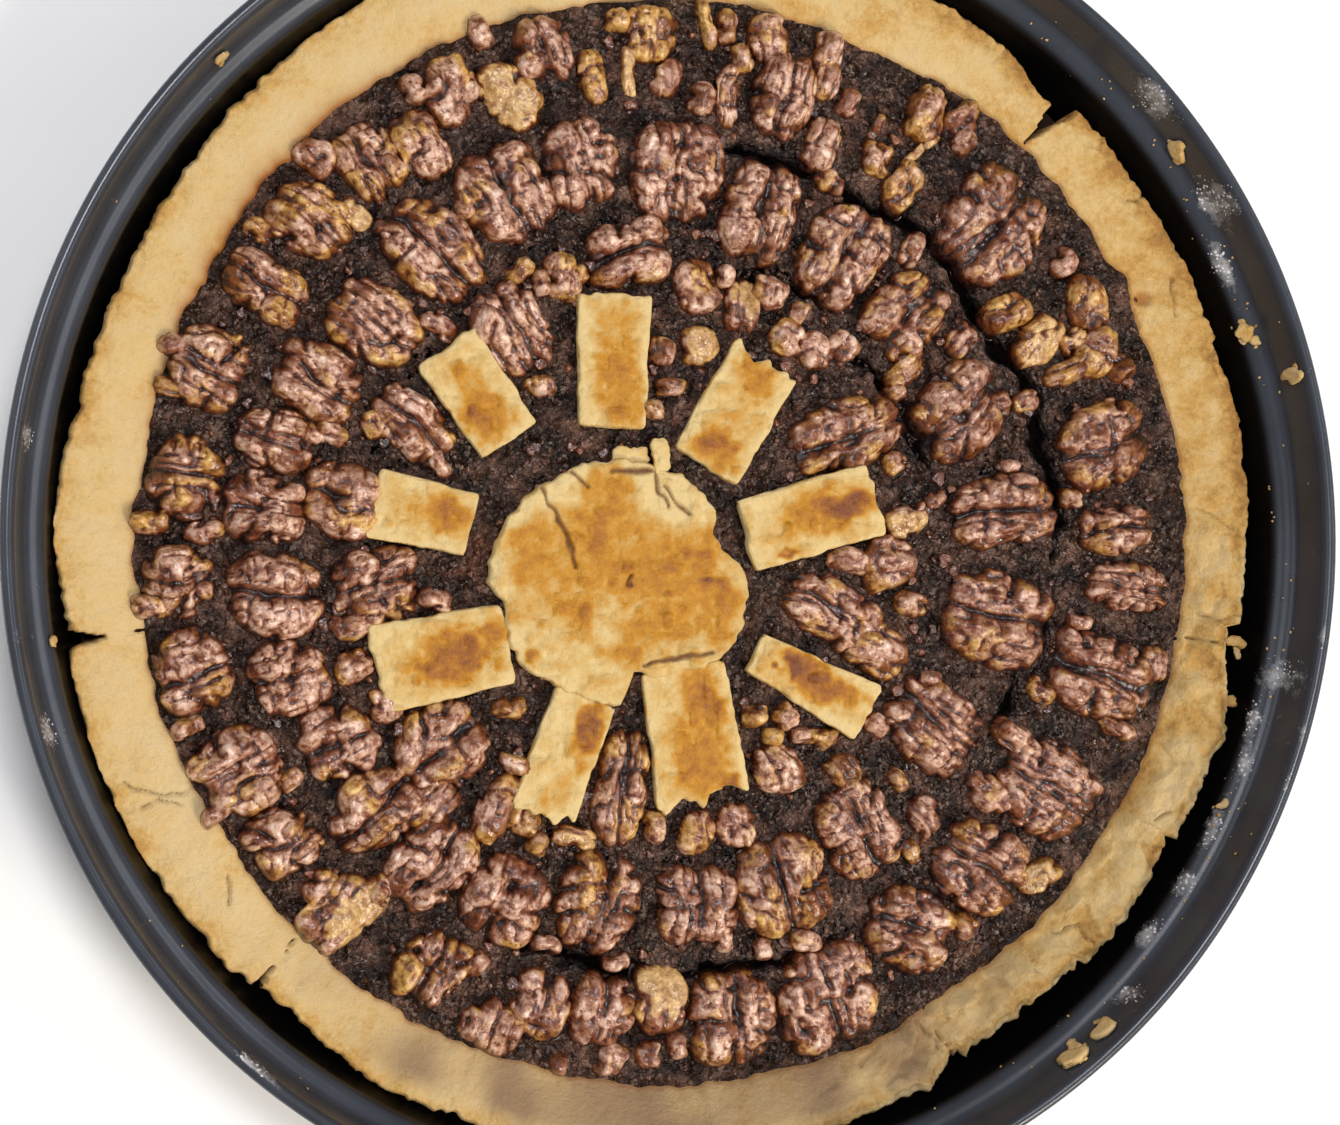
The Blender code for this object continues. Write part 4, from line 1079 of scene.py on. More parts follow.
def slab_surface(heap, outline, base, thickness, toast_at, crease_at, round_by, sag_at=None, loops=16):
    """A rolled pastry slab: loops from the middle of its underside out to its edge, up its rounded side
    and across its top to its middle, each loop the outline scaled about the slab's middle. Its top is
    faintly uneven."""
    columns = len(outline)
    middle = outline.mean(axis=0)
    shares = np.concatenate([[0.97], [1.0] * 4, 1.0 - 0.3 * np.linspace(0.02, 1.0, loops) ** 1.3,
                             np.linspace(0.69, 0.04, 2 * loops)])
    levels = np.concatenate([[0.0], [0.08, 0.35, 0.6, 0.82], np.ones(3 * loops)])
    inset = np.concatenate([[0.5], [0.15, 0.0, 0.05, 0.25], np.full(3 * loops, 0.6)])
    arms = outline - middle
    reach = np.hypot(arms[:, 0], arms[:, 1])
    spread = shares[:, None] * (1.0 - round_by * inset[:, None] / reach[None, :])
    plan = middle + arms[None, :, :] * spread[..., None]
    x, y = plan[..., 0], plan[..., 1]
    on_top = (levels > 0.95)[:, None]
    edge = reach[None, :] * (1.0 - shares[:, None])
    fall = 0.35 * np.exp(-edge / 0.8) * on_top
    relief = waves(x, y, (0.25, 9.0, 121), (0.16, 3.0, 122), (0.08, 1.3, 123))
    relief = relief + 1.2 * peaks(x, y, 3.6, 124, 0.35) - 0.8 * peaks(x, y, 2.6, 125, 0.4)
    height = base + thickness * levels[:, None] - fall + relief * on_top
    # the disc's cracks, sunk and darkened with painted shade
    crease = crease_at(x, y) * on_top
    height = height - 1.1 * crease
    if sag_at is not None:
        height = height + sag_at(x, y)
    toast = np.where(on_top, toast_at(x, y) + 0.25 * (relief - 0.05), 0.1 + 0.25 * soft_noise(x, y, 4.0, 126))
    ends = [(*middle, base), (*middle, float(height[-1].mean()))]
    points = np.concatenate([np.stack([x, y, height], axis=-1).reshape(-1, 3), ends])
    toast, crease = np.append(toast.ravel(), (0, toast[-1].mean())), np.append(crease.ravel(), (0, 0))
    heap.add(points, *turned_faces(len(shares), columns), toast=toast, crease=crease)


def ray_outline(corners, count, seed, torn):
    """A ray's outline through its four corners, near left, near right, far right and far left, its
    corners a little rounded, its sides faintly wavy and its far end torn."""
    sides = np.roll(corners, -1, axis=0) - corners
    lengths = np.array([np.hypot(*side) for side in sides])
    stops = np.concatenate([[0.0], np.cumsum(lengths)])
    place = np.linspace(0.0, stops[-1], count, endpoint=False)
    closed = np.concatenate([corners, corners[:1]])
    plan = np.stack([np.interp(place, stops, closed[:, 0]), np.interp(place, stops, closed[:, 1])], axis=-1)
    for _ in range(3):
        plan = 0.25 * np.roll(plan, 1, axis=0) + 0.5 * plan + 0.25 * np.roll(plan, -1, axis=0)
    middle = corners.mean(axis=0)
    outward = (plan - middle) / np.hypot(*(plan - middle).T)[:, None]
    rough = waves(place, place * 0 + seed, (0.45, 7.0, 131), (0.22, 1.9, 132))
    far = smooth_step(0.0, 2.0, np.minimum(place - stops[2], stops[3] - place))
    jag = 2.0 * soft_noise(place, place * 0 + seed, 5.0, 133) + soft_noise(place, place * 0, 1.9, 134)
    rough = rough + torn * far * (jag - 0.8)
    return plan + outward * rough[:, None]


# Browning of each ray: spots as share along, share across (1 is its left side), size along, size across and
# strength
RAY_BROWNING = {
    "sun_ray_1": ((0.4, -0.1, 0.42, 0.6, 0.5), (0.7, -0.1, 0.3, 0.6, 0.38), (0.15, -0.5, 0.2, 0.3, 0.4)),
    "sun_ray_2": ((0.3, 0.2, 0.34, 0.6, 0.6), (0.6, 0.0, 0.3, 0.5, 0.25)),
    "sun_ray_3": ((0.3, -0.1, 0.36, 0.6, 0.6), (0.62, 0.2, 0.25, 0.5, 0.25)),
    "sun_ray_4": ((0.42, 0.1, 0.3, 0.6, 0.72), (0.1, -0.3, 0.12, 0.4, 0.6), (0.7, -0.1, 0.2, 0.4, 0.3)),
    "sun_ray_5": ((0.25, 0.45, 0.32, 0.4, 0.7), (0.8, 0.1, 0.2, 0.5, 0.28)),
    "sun_ray_6": ((0.3, 0.3, 0.42, 0.55, 0.62), (0.65, 0.15, 0.42, 0.75, 0.55), (0.9, 0.6, 0.14, 0.4, 0.75)),
    "sun_ray_7": ((0.32, 0.15, 0.14, 0.7, 0.95), (0.55, 0.2, 0.35, 0.7, 0.72), (0.85, 0.3, 0.15, 0.4, 0.5)),
    "sun_ray_8": ((0.75, 0.0, 0.26, 0.5, 0.85), (0.62, 0.0, 0.36, 0.75, 0.5), (0.24, -0.7, 0.09, 0.22, 0.85)),
    "sun_ray_9": ((0.15, 0.0, 0.26, 0.7, 0.62), (0.85, 0.1, 0.2, 0.6, 0.5), (0.5, -0.3, 0.3, 0.4, 0.15)),
}


def ray_toast(corners, spots):
    """A function that gives a ray's browning at X and Y: soft spots, each a bell along and across the
    ray."""
    near, far = corners[:2].mean(axis=0), corners[2:].mean(axis=0)
    way = far - near
    length = float(np.hypot(*way))
    way = way / length
    left = np.array([-way[1], way[0]])
    half = 0.25 * (np.hypot(*(corners[0] - corners[1])) + np.hypot(*(corners[2] - corners[3])))

    def toast(x, y):
        along = ((x - near[0]) * way[0] + (y - near[1]) * way[1]) / length
        across = ((x - near[0]) * left[0] + (y - near[1]) * left[1]) / half
        border = np.minimum(np.minimum(along, 1.0 - along) * length, (1.0 - np.abs(across)) * half)
        along = along + waves(x, y, (0.07, 5.0, 135), (0.05, 1.8, 136))
        across = across + waves(x, y, (0.2, 5.0, 137), (0.12, 1.8, 138))
        level = np.full(np.shape(x), 0.16)
        for spot_along, spot_across, size_along, size_across, strength in spots:
            spot = bell(along - spot_along, size_along) * bell(across - spot_across, size_across)
            level = np.maximum(level, 0.16 + strength * (0.35 * spot + 0.6 * smooth_step(0.15, 0.75, spot)))
        level = level + 0.07 * rough_noise(x, y, 4.0, 139)
        wide = 1.5 + 0.9 * soft_noise(x, y, 5.0, 140)
        return level - 0.24 * np.exp(-np.maximum(border, 0.0) / wide)

    return toast


def disc_sag(middle):
    """A function that lifts the plates between the disc's cracks, blisters its left and lets its lower
    right fold."""

    def sag(x, y):
        u, v = x - middle[0], y - middle[1]
        plate = smooth_step(0.0, 2.5, u + 21.0 - 0.55 * (22.0 - v)) * smooth_step(12, 16, v)
        plate = plate * smooth_step(0.0, 2.0, -9.5 - u + 0.3 * (24 - v))
        blisters = bell(u + 15.5, 4.0) * bell(v - 8.0, 4.5) * peaks(x, y, 1.9, 156, 0.0)
        fold = smooth_step(-1.0, 0.6, v + 20.6 - 0.17 * (u - 15.0))
        fold = fold * smooth_step(3.0, 8.0, u) * smooth_step(-11.0, -19.0, v)
        ripple = bell(u - 17.0, 8.0) * bell(v - 7.0, 6.0) * peaks(x, y, 2.2, 157, 0.2)
        return 0.35 * plate + 1.1 * blisters + 0.8 * fold + 0.7 * ripple

    return sag


def slip_outline(middle, length, width, heading, seed):
    """The outline of a small torn slip of pastry: a superellipse of power 4 with a broken line."""
    turn = np.linspace(0.0, math.tau, 90, endpoint=False)
    reach = (np.abs(np.cos(turn)) ** 4 + np.abs(np.sin(turn)) ** 4) ** -0.25
    u, v = 0.5 * length * reach * np.cos(turn), 0.5 * width * reach * np.sin(turn)
    rough = 1.0 + 0.16 * soft_noise(u, v + seed, 2.6, 158) + 0.08 * soft_noise(u, v + seed, 1.0, 159)
    c, s = math.cos(math.radians(heading)), math.sin(math.radians(heading))
    return np.stack([middle[0] + rough * (u * c - v * s), middle[1] + rough * (u * s + v * c)], axis=-1)


def slip_toast(x, y):
    """A slip's browning: pale all over."""
    return np.full(np.shape(x), 0.08)


def no_crease(x, y):
    """No crease anywhere."""
    return np.zeros(np.shape(x))


def disc_outline(count):
    """The disc's outline: the solid's reach at each azimuth, with a crumbled line of 1 to 4 mm waves."""
    points = node_points("sun_disc")[:, :2]
    middle = np.array(DISC_CENTRE)
    arms = points - middle
    azimuth, reach = np.degrees(np.arctan2(arms[:, 1], arms[:, 0])), np.hypot(arms[:, 0], arms[:, 1])
    outer = reach > 0.97 * np.array([reach[np.abs(degrees_from(azimuth, a)) < 5.0].max() for a in azimuth])
    order = np.argsort(azimuth[outer])
    turn = np.arange(count) * 360.0 / count - 180.0
    radius = np.interp(turn, azimuth[outer][order], reach[outer][order], period=360.0)
    x, y = polar(turn, 34.0)
    radius = radius + 0.7 * soft_noise(x, y, 4.0, 141) + 0.4 * soft_noise(x, y, 1.7, 142)
    return middle + np.stack(polar(turn, radius), axis=-1), middle


# Browned and scorched spots of the disc from its middle: right, up, half sizes both ways, strength
DISC_SPOTS = (
    (-4, 24, 6, 9, 1.0), (-8, 12, 12, 9, 1.0), (-22, 6, 8, 10, 0.95), (4, 12, 12, 8, 0.85),
    (5, 2, 22, 7, 0.95), (19, 5, 9, 11, 1.0), (-14, -5, 11, 8, 0.65), (11, -10, 12, 6, 0.8),
    (24, -6, 8, 6, 1.0), (3, -18, 11, 5, 0.55), (-27, -8, 5, 7, 0.45), (27, -13, 5, 5, 0.6),
)
DISC_SCORCHES = (
    (-21.7, -18.7, 2.6, 1.6, 0.6), (2.0, 0.5, 1.2, 0.9, 0.5), (24.0, -1.0, 3.0, 1.4, 0.35),
    (-4.0, 14.0, 4.0, 3.0, 0.12), (20.0, 6.0, 5.0, 2.0, 0.12), (32.0, -4.0, 3.0, 6.0, 0.2),
    (24.0, 12.0, 2.5, 5.0, 0.16),
)


def disc_toast(middle):
    """A function that gives the disc's browning: amber with a ragged border over its middle and right,
    pale along its left and top rim and toward the bottom, with a few scorched spots."""

    def toast(x, y):
        u = x - middle[0] + waves(x, y, (2.2, 6.0, 151), (1.0, 2.2, 152))
        v = y - middle[1] + waves(x, y, (2.2, 6.0, 153), (1.0, 2.2, 154))
        brushed = np.zeros(np.shape(x))
        for across, up, wide, high, strength in DISC_SPOTS:
            brushed = np.maximum(brushed, strength * bell(u - across, wide) * bell(v - up, high))
        level = 0.15 + 0.32 * smooth_step(0.16, 0.55, brushed) + 0.12 * brushed
        level = level + 0.07 * rough_noise(x, y, 5.0, 155)
        for across, up, wide, high, strength in DISC_SCORCHES:
            level = level + strength * bell(u - across, wide) * bell(v - up, high)
        pale = bell(u - 15.0, 9.0) * bell(v - 21.0, 7.0) + bell(u + 17.0, 5.0) * bell(v - 22.0, 5.0)
        right = smooth_step(2.0, 18.0, u) * smooth_step(-24.0, -14.0, v)
        pale = pale + smooth_step(0.86, 1.0, np.hypot(u / 34.5, v / 31.5)) * (1.0 - 0.9 * right)
        return level - 0.2 * np.minimum(pale, 1.0)

    return toast


def crack_line(x, y, path, width, seed):
    """How near a point is to a jagged line through points, 1 on it and 0 at its width."""
    share = np.zeros(np.shape(x))
    jag_x, jag_y = x + 0.8 * soft_noise(x, y, 3.0, seed), y + 0.8 * soft_noise(x, y, 3.0, seed + 1)
    for (ax, ay), (bx, by) in zip(path, path[1:]):
        dx, dy = bx - ax, by - ay
        along = np.clip(((jag_x - ax) * dx + (jag_y - ay) * dy) / (dx**2 + dy**2), 0, 1)
        away = np.hypot(jag_x - ax - along * dx, jag_y - ay - along * dy)
        share = np.maximum(share, bell(away, width))
    return share


def disc_cracks(middle):
    """A function that gives the disc's cracks: two from its upper left edge, two fine curved ones at
    its upper right, and the folds above its rays."""
    lines = ((((-23.5, 28), (-19.8, 21.7), (-16.6, 17.3), (-14.4, 12.9), (-12.1, 4)), 0.5),
             (((-15, 30), (-11.4, 27.4), (-8.8, 24)), 0.4), (((9.8, 28), (10.4, 22.6), (12.1, 19.4)), 0.42),
             (((11.4, 24.5), (15.4, 20.7), (18.7, 17.5)), 0.4), (((-2, 29), (4, 28.3), (8, 28.6)), 0.7),
             (((6.8, -21.4), (15.4, -19.6), (24.7, -18.4)), 0.5), (((2.2, -0.5), (2.8, 1.8)), 0.4))

    def crease(x, y):
        share = np.zeros(np.shape(x))
        for number, (path, width) in enumerate(lines):
            share = np.maximum(share, crack_line(x - middle[0], y - middle[1], path, width, 161 + 2 * number))
        return share

    return crease


# ------------------------------------------------------------- loose crumbs


def crumb_bodies(heap, places, seed, **ranges):
    """Crumbs, from rows of X, Y, height, size, flatness and lean outward: each a small ball pushed in
    and out, of 8 by 5 points, or 20 by 9 and flat on both faces with a broken outline when it is larger
    than 2.5 mm. Nothing of it passes the tin's wall. Each named value is drawn once for each crumb,
    between its two ends."""
    random = np.random.default_rng(seed)
    kinds = []
    for rows, columns in ((5, 8), (9, 20)):
        rise = np.radians(np.linspace(-70, 70, rows))[:, None]
        turn = np.radians(np.arange(columns) * 360.0 / columns)[None, :]
        wide, high = np.cos(rise), np.sin(rise) + 0 * turn
        ball = np.stack([wide * np.cos(turn), wide * np.sin(turn), high], axis=-1).reshape(-1, 3)
        kinds.append((np.concatenate([ball, [(0, 0, -1)], [(0, 0, 1)]]), turned_faces(rows, columns)))
    for number, (x, y, z, size, flat, lean) in enumerate(places):
        large = size > 2.5
        ball, (quads, triangles) = kinds[int(large)]
        push = random.uniform(0.65, 1.25, (len(ball), 1))
        if large:
            broken = 3.0 * ball[:, :2] + 10.0 * number
            push = 0.92 + 0.55 * soft_noise(broken[:, :1], broken[:, 1:], 2.4, 171) + 0.18 * (push - 1.0)
        lumpy = ball * push * (size / 2)
        if large:
            lumpy[:, 2] = np.clip(2.2 * lumpy[:, 2], -0.5 * size, 0.5 * size) * (0.8 + 0.2 * push[:, 0])
        spin = random.uniform(0, math.tau)
        stretch = random.uniform(0.7, 1.3)
        out = lumpy[:, 0] * math.cos(spin) * stretch - lumpy[:, 1] * math.sin(spin)
        beside = lumpy[:, 0] * math.sin(spin) * stretch + lumpy[:, 1] * math.cos(spin)
        deep = (size / 2 + lumpy[:, 2]) * flat
        distance, azimuth = math.hypot(x, y), math.degrees(math.atan2(y, x))
        reach = distance + out * math.cos(lean) - deep * math.sin(lean)
        high = z + out * math.sin(lean) + deep * math.cos(lean)
        if distance > FLOOR_RADIUS:
            reach = inside_wall(reach, high)
        points = np.stack([*polar(azimuth + np.degrees(beside / distance), reach), high], axis=-1)
        heap.add(points, quads, triangles, **{name: random.uniform(*ends) for name, ends in ranges.items()})


def nut_bits(heap, count, seed):
    """Ground nut in the filling: lumps of 0.7 to 3.6 mm, sunk in it and none in its cracks."""
    random = np.random.default_rng(seed)
    azimuth, radius = random.uniform(0, 360, count), 134.0 * np.sqrt(random.uniform(0.05, 1.0, count))
    x, y = polar(azimuth, radius)
    size = random.uniform(1.2, 3.6, count) * random.uniform(0.6, 1.0, count)
    keep = crack_share(x, y) < 0.1
    level = filling_level(x, y) - 0.1 * size
    rows = np.stack([x, y, level, size, np.full(count, 0.7), np.zeros(count)], axis=-1)[keep]
    crumb_bodies(heap, rows, seed + 1, tone=(-0.3, 0.15), crease=(0.5, 0.97), flesh=(0.0, 0.0))


def on_wall(radius):
    """The height and the lean in radians of the tin's inner wall at a radius outside the crust."""
    wall = np.array(INNER_WALL[1:])
    low, high = np.interp((radius - 0.3, radius + 0.3), wall[:, 0], wall[:, 1])
    return 0.5 * (low + high), math.atan2(high - low, 0.6)


# Pastry flakes fallen on the tin's wall: azimuth, radius, size
FALLEN_FLAKES = (
    (38.6, 167.6, 6.0), (20.4, 163.2, 7.0), (19.2, 164.6, 4.0), (15.4, 168.4, 5.5), (-50.3, 168.0, 6.5),
    (-54.1, 168.2, 8.0), (-53.0, 167.4, 5.0), (136.5, 168.0, 4.5), (-26.0, 162.8, 3.5), (189.0, 162.5, 3.0),
)
# Flakes that hang on the crust's torn edge: azimuth, radius, height, size
HANGING_FLAKES = (
    (-10.2, 157.6, 21.6, 5.0), (-11.0, 158.2, 21.0, 3.4), (-16.2, 158.0, 21.6, 5.6),
    (-17.2, 157.6, 22.0, 4.0), (-47.4, 155.4, 21.4, 4.4), (12.0, 158.4, 21.6, 3.2),
)


# --------------------------------------------------------------- the add-on


def length_property(name, description, default, least, most):
    """A length setting in metres."""
    return FloatProperty(name=name, description=description, default=default, min=least, max=most,
                         unit="LENGTH", subtype="DISTANCE")


def factor_property(name, description):
    """A setting that is 1 as baked."""
    return FloatProperty(name=name, description=description, default=1.0, min=0.0, max=2.0, subtype="FACTOR")


def count_property(name, description, default, most):
    """A whole number of bodies."""
    return IntProperty(name=name, description=description, default=default, min=0, max=most)


class PieSizes(bpy.types.PropertyGroup):
    """Sizes that can be changed before the pieces are made."""

    walnut_height: length_property("Walnut height", "How far a large half stands up", 0.0072, 0.002, 0.012)
    fold_depth: length_property("Fold depth", "Depth of the folds in a walnut's skin", 0.0013, 0.0, 0.003)
    grain: factor_property("Filling grain", "How rough the filling's crumbs are, 1 as baked")
    raggedness: factor_property("Crust raggedness", "How broken the crust's edge is, 1 as baked")
    crumbs: count_property("Loose crumbs", "How many loose crumbs lie round the crust", 110, 2000)
    bits: count_property("Nut bits", "How many lumps of ground nut show in the filling", 900, 2400)


def colour_property(name, description, code):
    """A colour setting, given as an sRGB hex value."""
    return FloatVectorProperty(name=name, description=description, default=linear(code), size=4, min=0.0,
                               max=1.0, subtype="COLOR")


class PieColours(bpy.types.PropertyGroup):
    """Colours that can be changed before the pieces are made."""

    enamel: colour_property("Enamel", "The tin's black enamel", "#363b43")
    shortcrust: colour_property("Shortcrust", "The crust where it is evenly baked", "#d6b67b")
    egg_wash_pale: colour_property("Pale glaze", "The sun's pastry where it stayed pale", "#caa662")
    egg_wash_amber: colour_property("Amber glaze", "The sun's pastry where the egg browned", "#bc831c")
    filling: colour_property("Filling", "The dark nut filling", "#402a20")
    walnut: colour_property("Walnut", "The skin of the roasted walnuts", "#d3a385")
    walnut_amber: colour_property("Amber walnut", "The skin where it is thin or glazed", "#cd9849")


def settle(piece, slot, *nodes):
    """Hide the frame's nodes that a finished piece stands for and hang the piece on the root body. Its slot,
    what it is made of, is not used.
    """
    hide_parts(*nodes)
    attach(piece, "root")


class PIE_OT_tin(bpy.types.Operator):
    """Make the round tin with its beaded wall and rolled rim"""

    bl_idname = "walnut_pie.tin"
    bl_label = "Tin"

    def execute(self, context):
        heap = Heap()
        tin_surface(heap)
        piece = heap.make("baking_tin", finish_of(enamelled_steel, context.scene.pie_colours))
        settle(piece, "enamelled_steel", "tin")
        return {"FINISHED"}


class PIE_OT_crust(bpy.types.Operator):
    """Make the shortcrust case with its ragged, split edge"""

    bl_idname = "walnut_pie.crust"
    bl_label = "Crust"

    def execute(self, context):
        heap = Heap()
        crust_surface(heap, context.scene.pie_sizes.raggedness)
        piece = heap.make("shortcrust_case", finish_of(baked_shortcrust, context.scene.pie_colours))
        settle(piece, "shortcrust", "pastry_case")
        return {"FINISHED"}


class PIE_OT_filling(bpy.types.Operator):
    """Make the crumbly filling with its baked cracks"""

    bl_idname = "walnut_pie.filling"
    bl_label = "Filling"

    def execute(self, context):
        grain = context.scene.pie_sizes.grain
        finish = finish_of(walnut_filling, context.scene.pie_colours)
        for name, maker in (("filling_middle", filling_middle), ("filling_border", filling_border)):
            heap = Heap()
            maker(heap, grain, FILLING_GRID, FILLING_JOIN)
            settle(heap.make(name, finish), "filling", "filling")
        return {"FINISHED"}


# Torn slips of pastry at the disc's top edge, from its middle: right, up, length, width, heading, lift
DISC_SLIPS = ((3.2, 32.4, 9.5, 5.2, 1.0, -0.4), (10.8, 32.2, 4.6, 8.6, 8.0, 1.9))
# Rays with a wholly torn far end
TORN_RAYS = ("sun_ray_5", "sun_ray_6", "sun_ray_9")


class PIE_OT_sun(bpy.types.Operator):
    """Make the pastry sun: its disc and its nine rays"""

    bl_idname = "walnut_pie.sun"
    bl_label = "Pastry sun"

    def execute(self, context):
        finish = finish_of(egg_washed_pastry, context.scene.pie_colours)
        heap = Heap()
        outline, middle = disc_outline(DISC_POINTS)
        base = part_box("sun_disc")[0].z / MM
        slab_surface(heap, outline, base, DISC_THICKNESS, disc_toast(middle), disc_cracks(middle), 1.0,
                     sag_at=disc_sag(middle), loops=DISC_LOOPS)
        for across, up, length, width, heading, lift in DISC_SLIPS:
            spot = (middle[0] + across, middle[1] + up)
            outline = slip_outline(spot, length, width, heading, up + across)
            slab_surface(heap, outline, base + lift, 2.4, slip_toast, no_crease, 0.6)
        settle(heap.make("pastry_sun_disc", finish), "browned_pastry", "sun_disc")
        for number, name in enumerate(sorted(RAY_BROWNING)):
            heap = Heap()
            corners, base = ray_corners(name)
            outline = ray_outline(corners, RAY_POINTS, 170 + number, 1.0 if name in TORN_RAYS else 0.25)
            toast = ray_toast(corners, RAY_BROWNING[name])
            slab_surface(heap, outline, base, RAY_THICKNESS, toast, no_crease, 0.8)
            settle(heap.make("pastry_" + name, finish), "browned_pastry", name)
        return {"FINISHED"}


class PIE_OT_walnuts(bpy.types.Operator):
    """Make the walnut halves of the three rings and the smaller and broken pieces among them"""

    bl_idname = "walnut_pie.walnuts"
    bl_label = "Walnuts"

    def execute(self, context):
        sizes = context.scene.pie_sizes
        finish = finish_of(roasted_walnut, context.scene.pie_colours)
        for ring, seed in (("outer", 300), ("middle", 400)):
            heap = Heap()
            nodes = add_ring(heap, sizes, f"walnut_{ring}_", seed)
            settle(heap.make(f"walnuts_{ring}", finish), "walnut", *nodes)
        heap = Heap()
        nodes = add_ring(heap, sizes, "walnut_inner_", 500)
        add_pieces(heap, sizes, INNER_PIECES, 520)
        settle(heap.make("walnuts_inner", finish), "walnut", *nodes)
        heap = Heap()
        add_pieces(heap, sizes, OUTER_PIECES, 600)
        add_pieces(heap, sizes, FILLER_PIECES, 700)
        settle(heap.make("walnut_pieces", finish), "walnut")
        heap = Heap()
        nut_bits(heap, sizes.bits, 640)
        settle(heap.make("ground_nut", finish), "walnut")
        return {"FINISHED"}


class PIE_OT_crumbs(bpy.types.Operator):
    """Scatter pastry crumbs and flakes on the tin's wall and round the crust"""

    bl_idname = "walnut_pie.crumbs"
    bl_label = "Crumbs"

    def execute(self, context):
        random = np.random.default_rng(700)
        places = []
        for azimuth, radius, size in FALLEN_FLAKES:
            height, lean = on_wall(radius)
            places.append((*polar(azimuth, radius), height, size, 0.3, lean))
            for _ in range(2):
                near = radius + random.uniform(-1.0, 0.6)
                height, lean = on_wall(near)
                spot = polar(azimuth + random.uniform(-1.2, 1.2), near)
                places.append((*spot, height, size * random.uniform(0.25, 0.5), 0.4, lean))
        for azimuth, radius, height, size in HANGING_FLAKES:
            places.append((*polar(azimuth, radius), height, size, 0.45, 0.3))
        for _ in range(context.scene.pie_sizes.crumbs):
            azimuth, radius = random.normal(10.0, 60.0), random.uniform(161.6, 168.6)
            height, lean = on_wall(radius)
            places.append((*polar(azimuth, radius), height, random.uniform(0.35, 0.9), 0.6, lean))
        heap = Heap()
        crumb_bodies(heap, places, 710, bake=(-0.1, 0.15), crease=(0.0, 0.0), syrup=(0.0, 0.0))
        piece = heap.make("pastry_crumbs", finish_of(baked_shortcrust, context.scene.pie_colours))
        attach(piece, "root")
        return {"FINISHED"}


FLOOR_DROP = -0.0002
LIGHT_AIM = Vector((0.0, 0.0, 0.02))
# Soft lights: name, place, size, power, colour and, of a strip, its height
LIGHTS = (
    ("window", (0.75, -0.95, 1.15), 0.45, 17.5, "#fff4e6"),
    ("ceiling", (-0.1, 0.3, 1.35), 0.3, 9.5, "#f8f8ff"),
    ("strip", (1.2, 0.0, 1.0), 1.6, 5.0, "#f4f6ff", 0.07),
    ("fill", (-1.3, 0.5, 0.8), 1.2, 5.0, "#f0f4ff"),
)


def add_light(name, place, size, power, colour, height=None):
    """A soft light that points at the pie: square, or an upright strip of its own height."""
    lamp = bpy.data.lights.new(name, "AREA")
    lamp.size, lamp.energy, lamp.color = size, power, linear(colour)[:3]
    if height:
        lamp.shape, lamp.size_y = "RECTANGLE", height
    made = bpy.data.objects.new(name, lamp)
    made.location = place
    made.rotation_euler = (LIGHT_AIM - Vector(place)).to_track_quat("-Z", "Y").to_euler()
    bpy.context.scene.collection.objects.link(made)


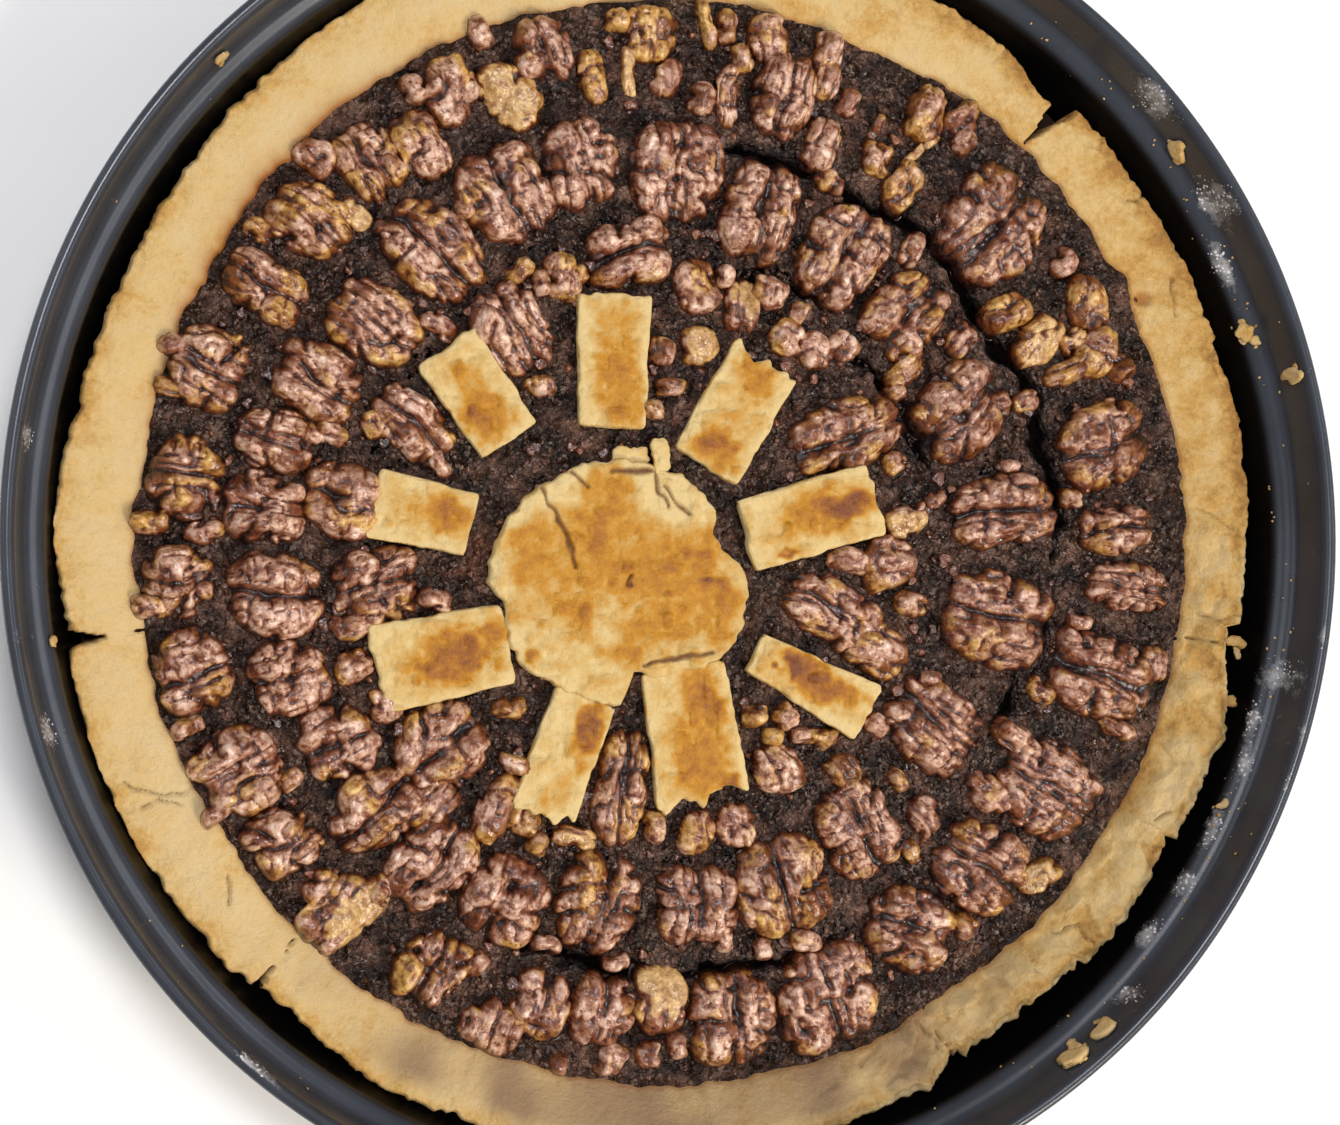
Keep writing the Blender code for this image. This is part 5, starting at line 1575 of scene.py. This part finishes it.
class PIE_OT_stage(bpy.types.Operator):
    """Set the pale floor, the soft light and the camera"""

    bl_idname = "walnut_pie.stage"
    bl_label = "Stage"

    def execute(self, context):
        scene = context.scene
        mesh = bpy.data.meshes.new("floor")
        corners = [(x, y, FLOOR_DROP) for x, y in ((-3, -3), (3, -3), (3, 3), (-3, 3))]
        mesh.from_pydata(corners, [], [(0, 1, 2, 3)])
        mesh.materials.append(pale_floor())
        floor = bpy.data.objects.new("floor", mesh)
        scene.collection.objects.link(floor)
        world = bpy.data.worlds.new("soft room light")
        world.use_nodes = True
        world.node_tree.nodes["Background"].inputs["Color"].default_value = (1.0, 0.97, 0.94, 1.0)
        world.node_tree.nodes["Background"].inputs["Strength"].default_value = 0.26
        scene.world = world
        for light in LIGHTS:
            add_light(*light)
        scene.view_settings.view_transform = "Standard"
        lens = bpy.data.cameras.new("camera")
        lens.lens, lens.sensor_width, lens.sensor_fit = 64.9, 36.0, "HORIZONTAL"
        lens.clip_start, lens.clip_end = 0.01, 20.0
        camera = bpy.data.objects.new("camera", lens)
        lean, toward = math.radians(14.3435), math.radians(181.677)
        back = Vector((math.sin(lean) * math.cos(toward), math.sin(lean) * math.sin(toward), math.cos(lean)))
        right = Vector((0.0, 1.0, 0.0)).cross(back).normalized()
        up = back.cross(right)
        aim = Vector((-0.011873, -0.006036, TIN_HEIGHT * MM))
        turned = Matrix((right, up, back)).transposed().to_4x4()
        camera.matrix_world = Matrix.Translation(aim + 0.6 * back) @ turned
        scene.collection.objects.link(camera)
        scene.camera = camera
        return {"FINISHED"}


OPERATORS = (
    PIE_OT_stage, PIE_OT_tin, PIE_OT_crust, PIE_OT_filling, PIE_OT_sun, PIE_OT_walnuts, PIE_OT_crumbs,
)


class PIE_PT_panel(bpy.types.Panel):
    """Lists the pie's settings and the pieces that can be made"""

    bl_idname = "PIE_PT_panel"
    bl_label = "Walnut Pie"
    bl_space_type = "VIEW_3D"
    bl_region_type = "UI"
    bl_category = "Walnut Pie"

    def draw(self, context):
        for group in (context.scene.pie_sizes, context.scene.pie_colours):
            for name in group.__annotations__:
                self.layout.prop(group, name)
        for operator in OPERATORS:
            self.layout.operator(operator.bl_idname)


CLASSES = (PieSizes, PieColours, *OPERATORS, PIE_PT_panel)


def register():
    """Register the classes and hang the settings on the scene."""
    for item in CLASSES:
        bpy.utils.register_class(item)
    bpy.types.Scene.pie_sizes = PointerProperty(type=PieSizes)
    bpy.types.Scene.pie_colours = PointerProperty(type=PieColours)


def unregister():
    """Take the settings and the classes away again."""
    del bpy.types.Scene.pie_colours
    del bpy.types.Scene.pie_sizes
    for item in reversed(CLASSES):
        bpy.utils.unregister_class(item)


def main():
    """Make every piece in order."""
    register()
    for operator in OPERATORS:
        group, name = operator.bl_idname.split(".")
        getattr(getattr(bpy.ops, group), name)()


if __name__ == "__main__":
    main()
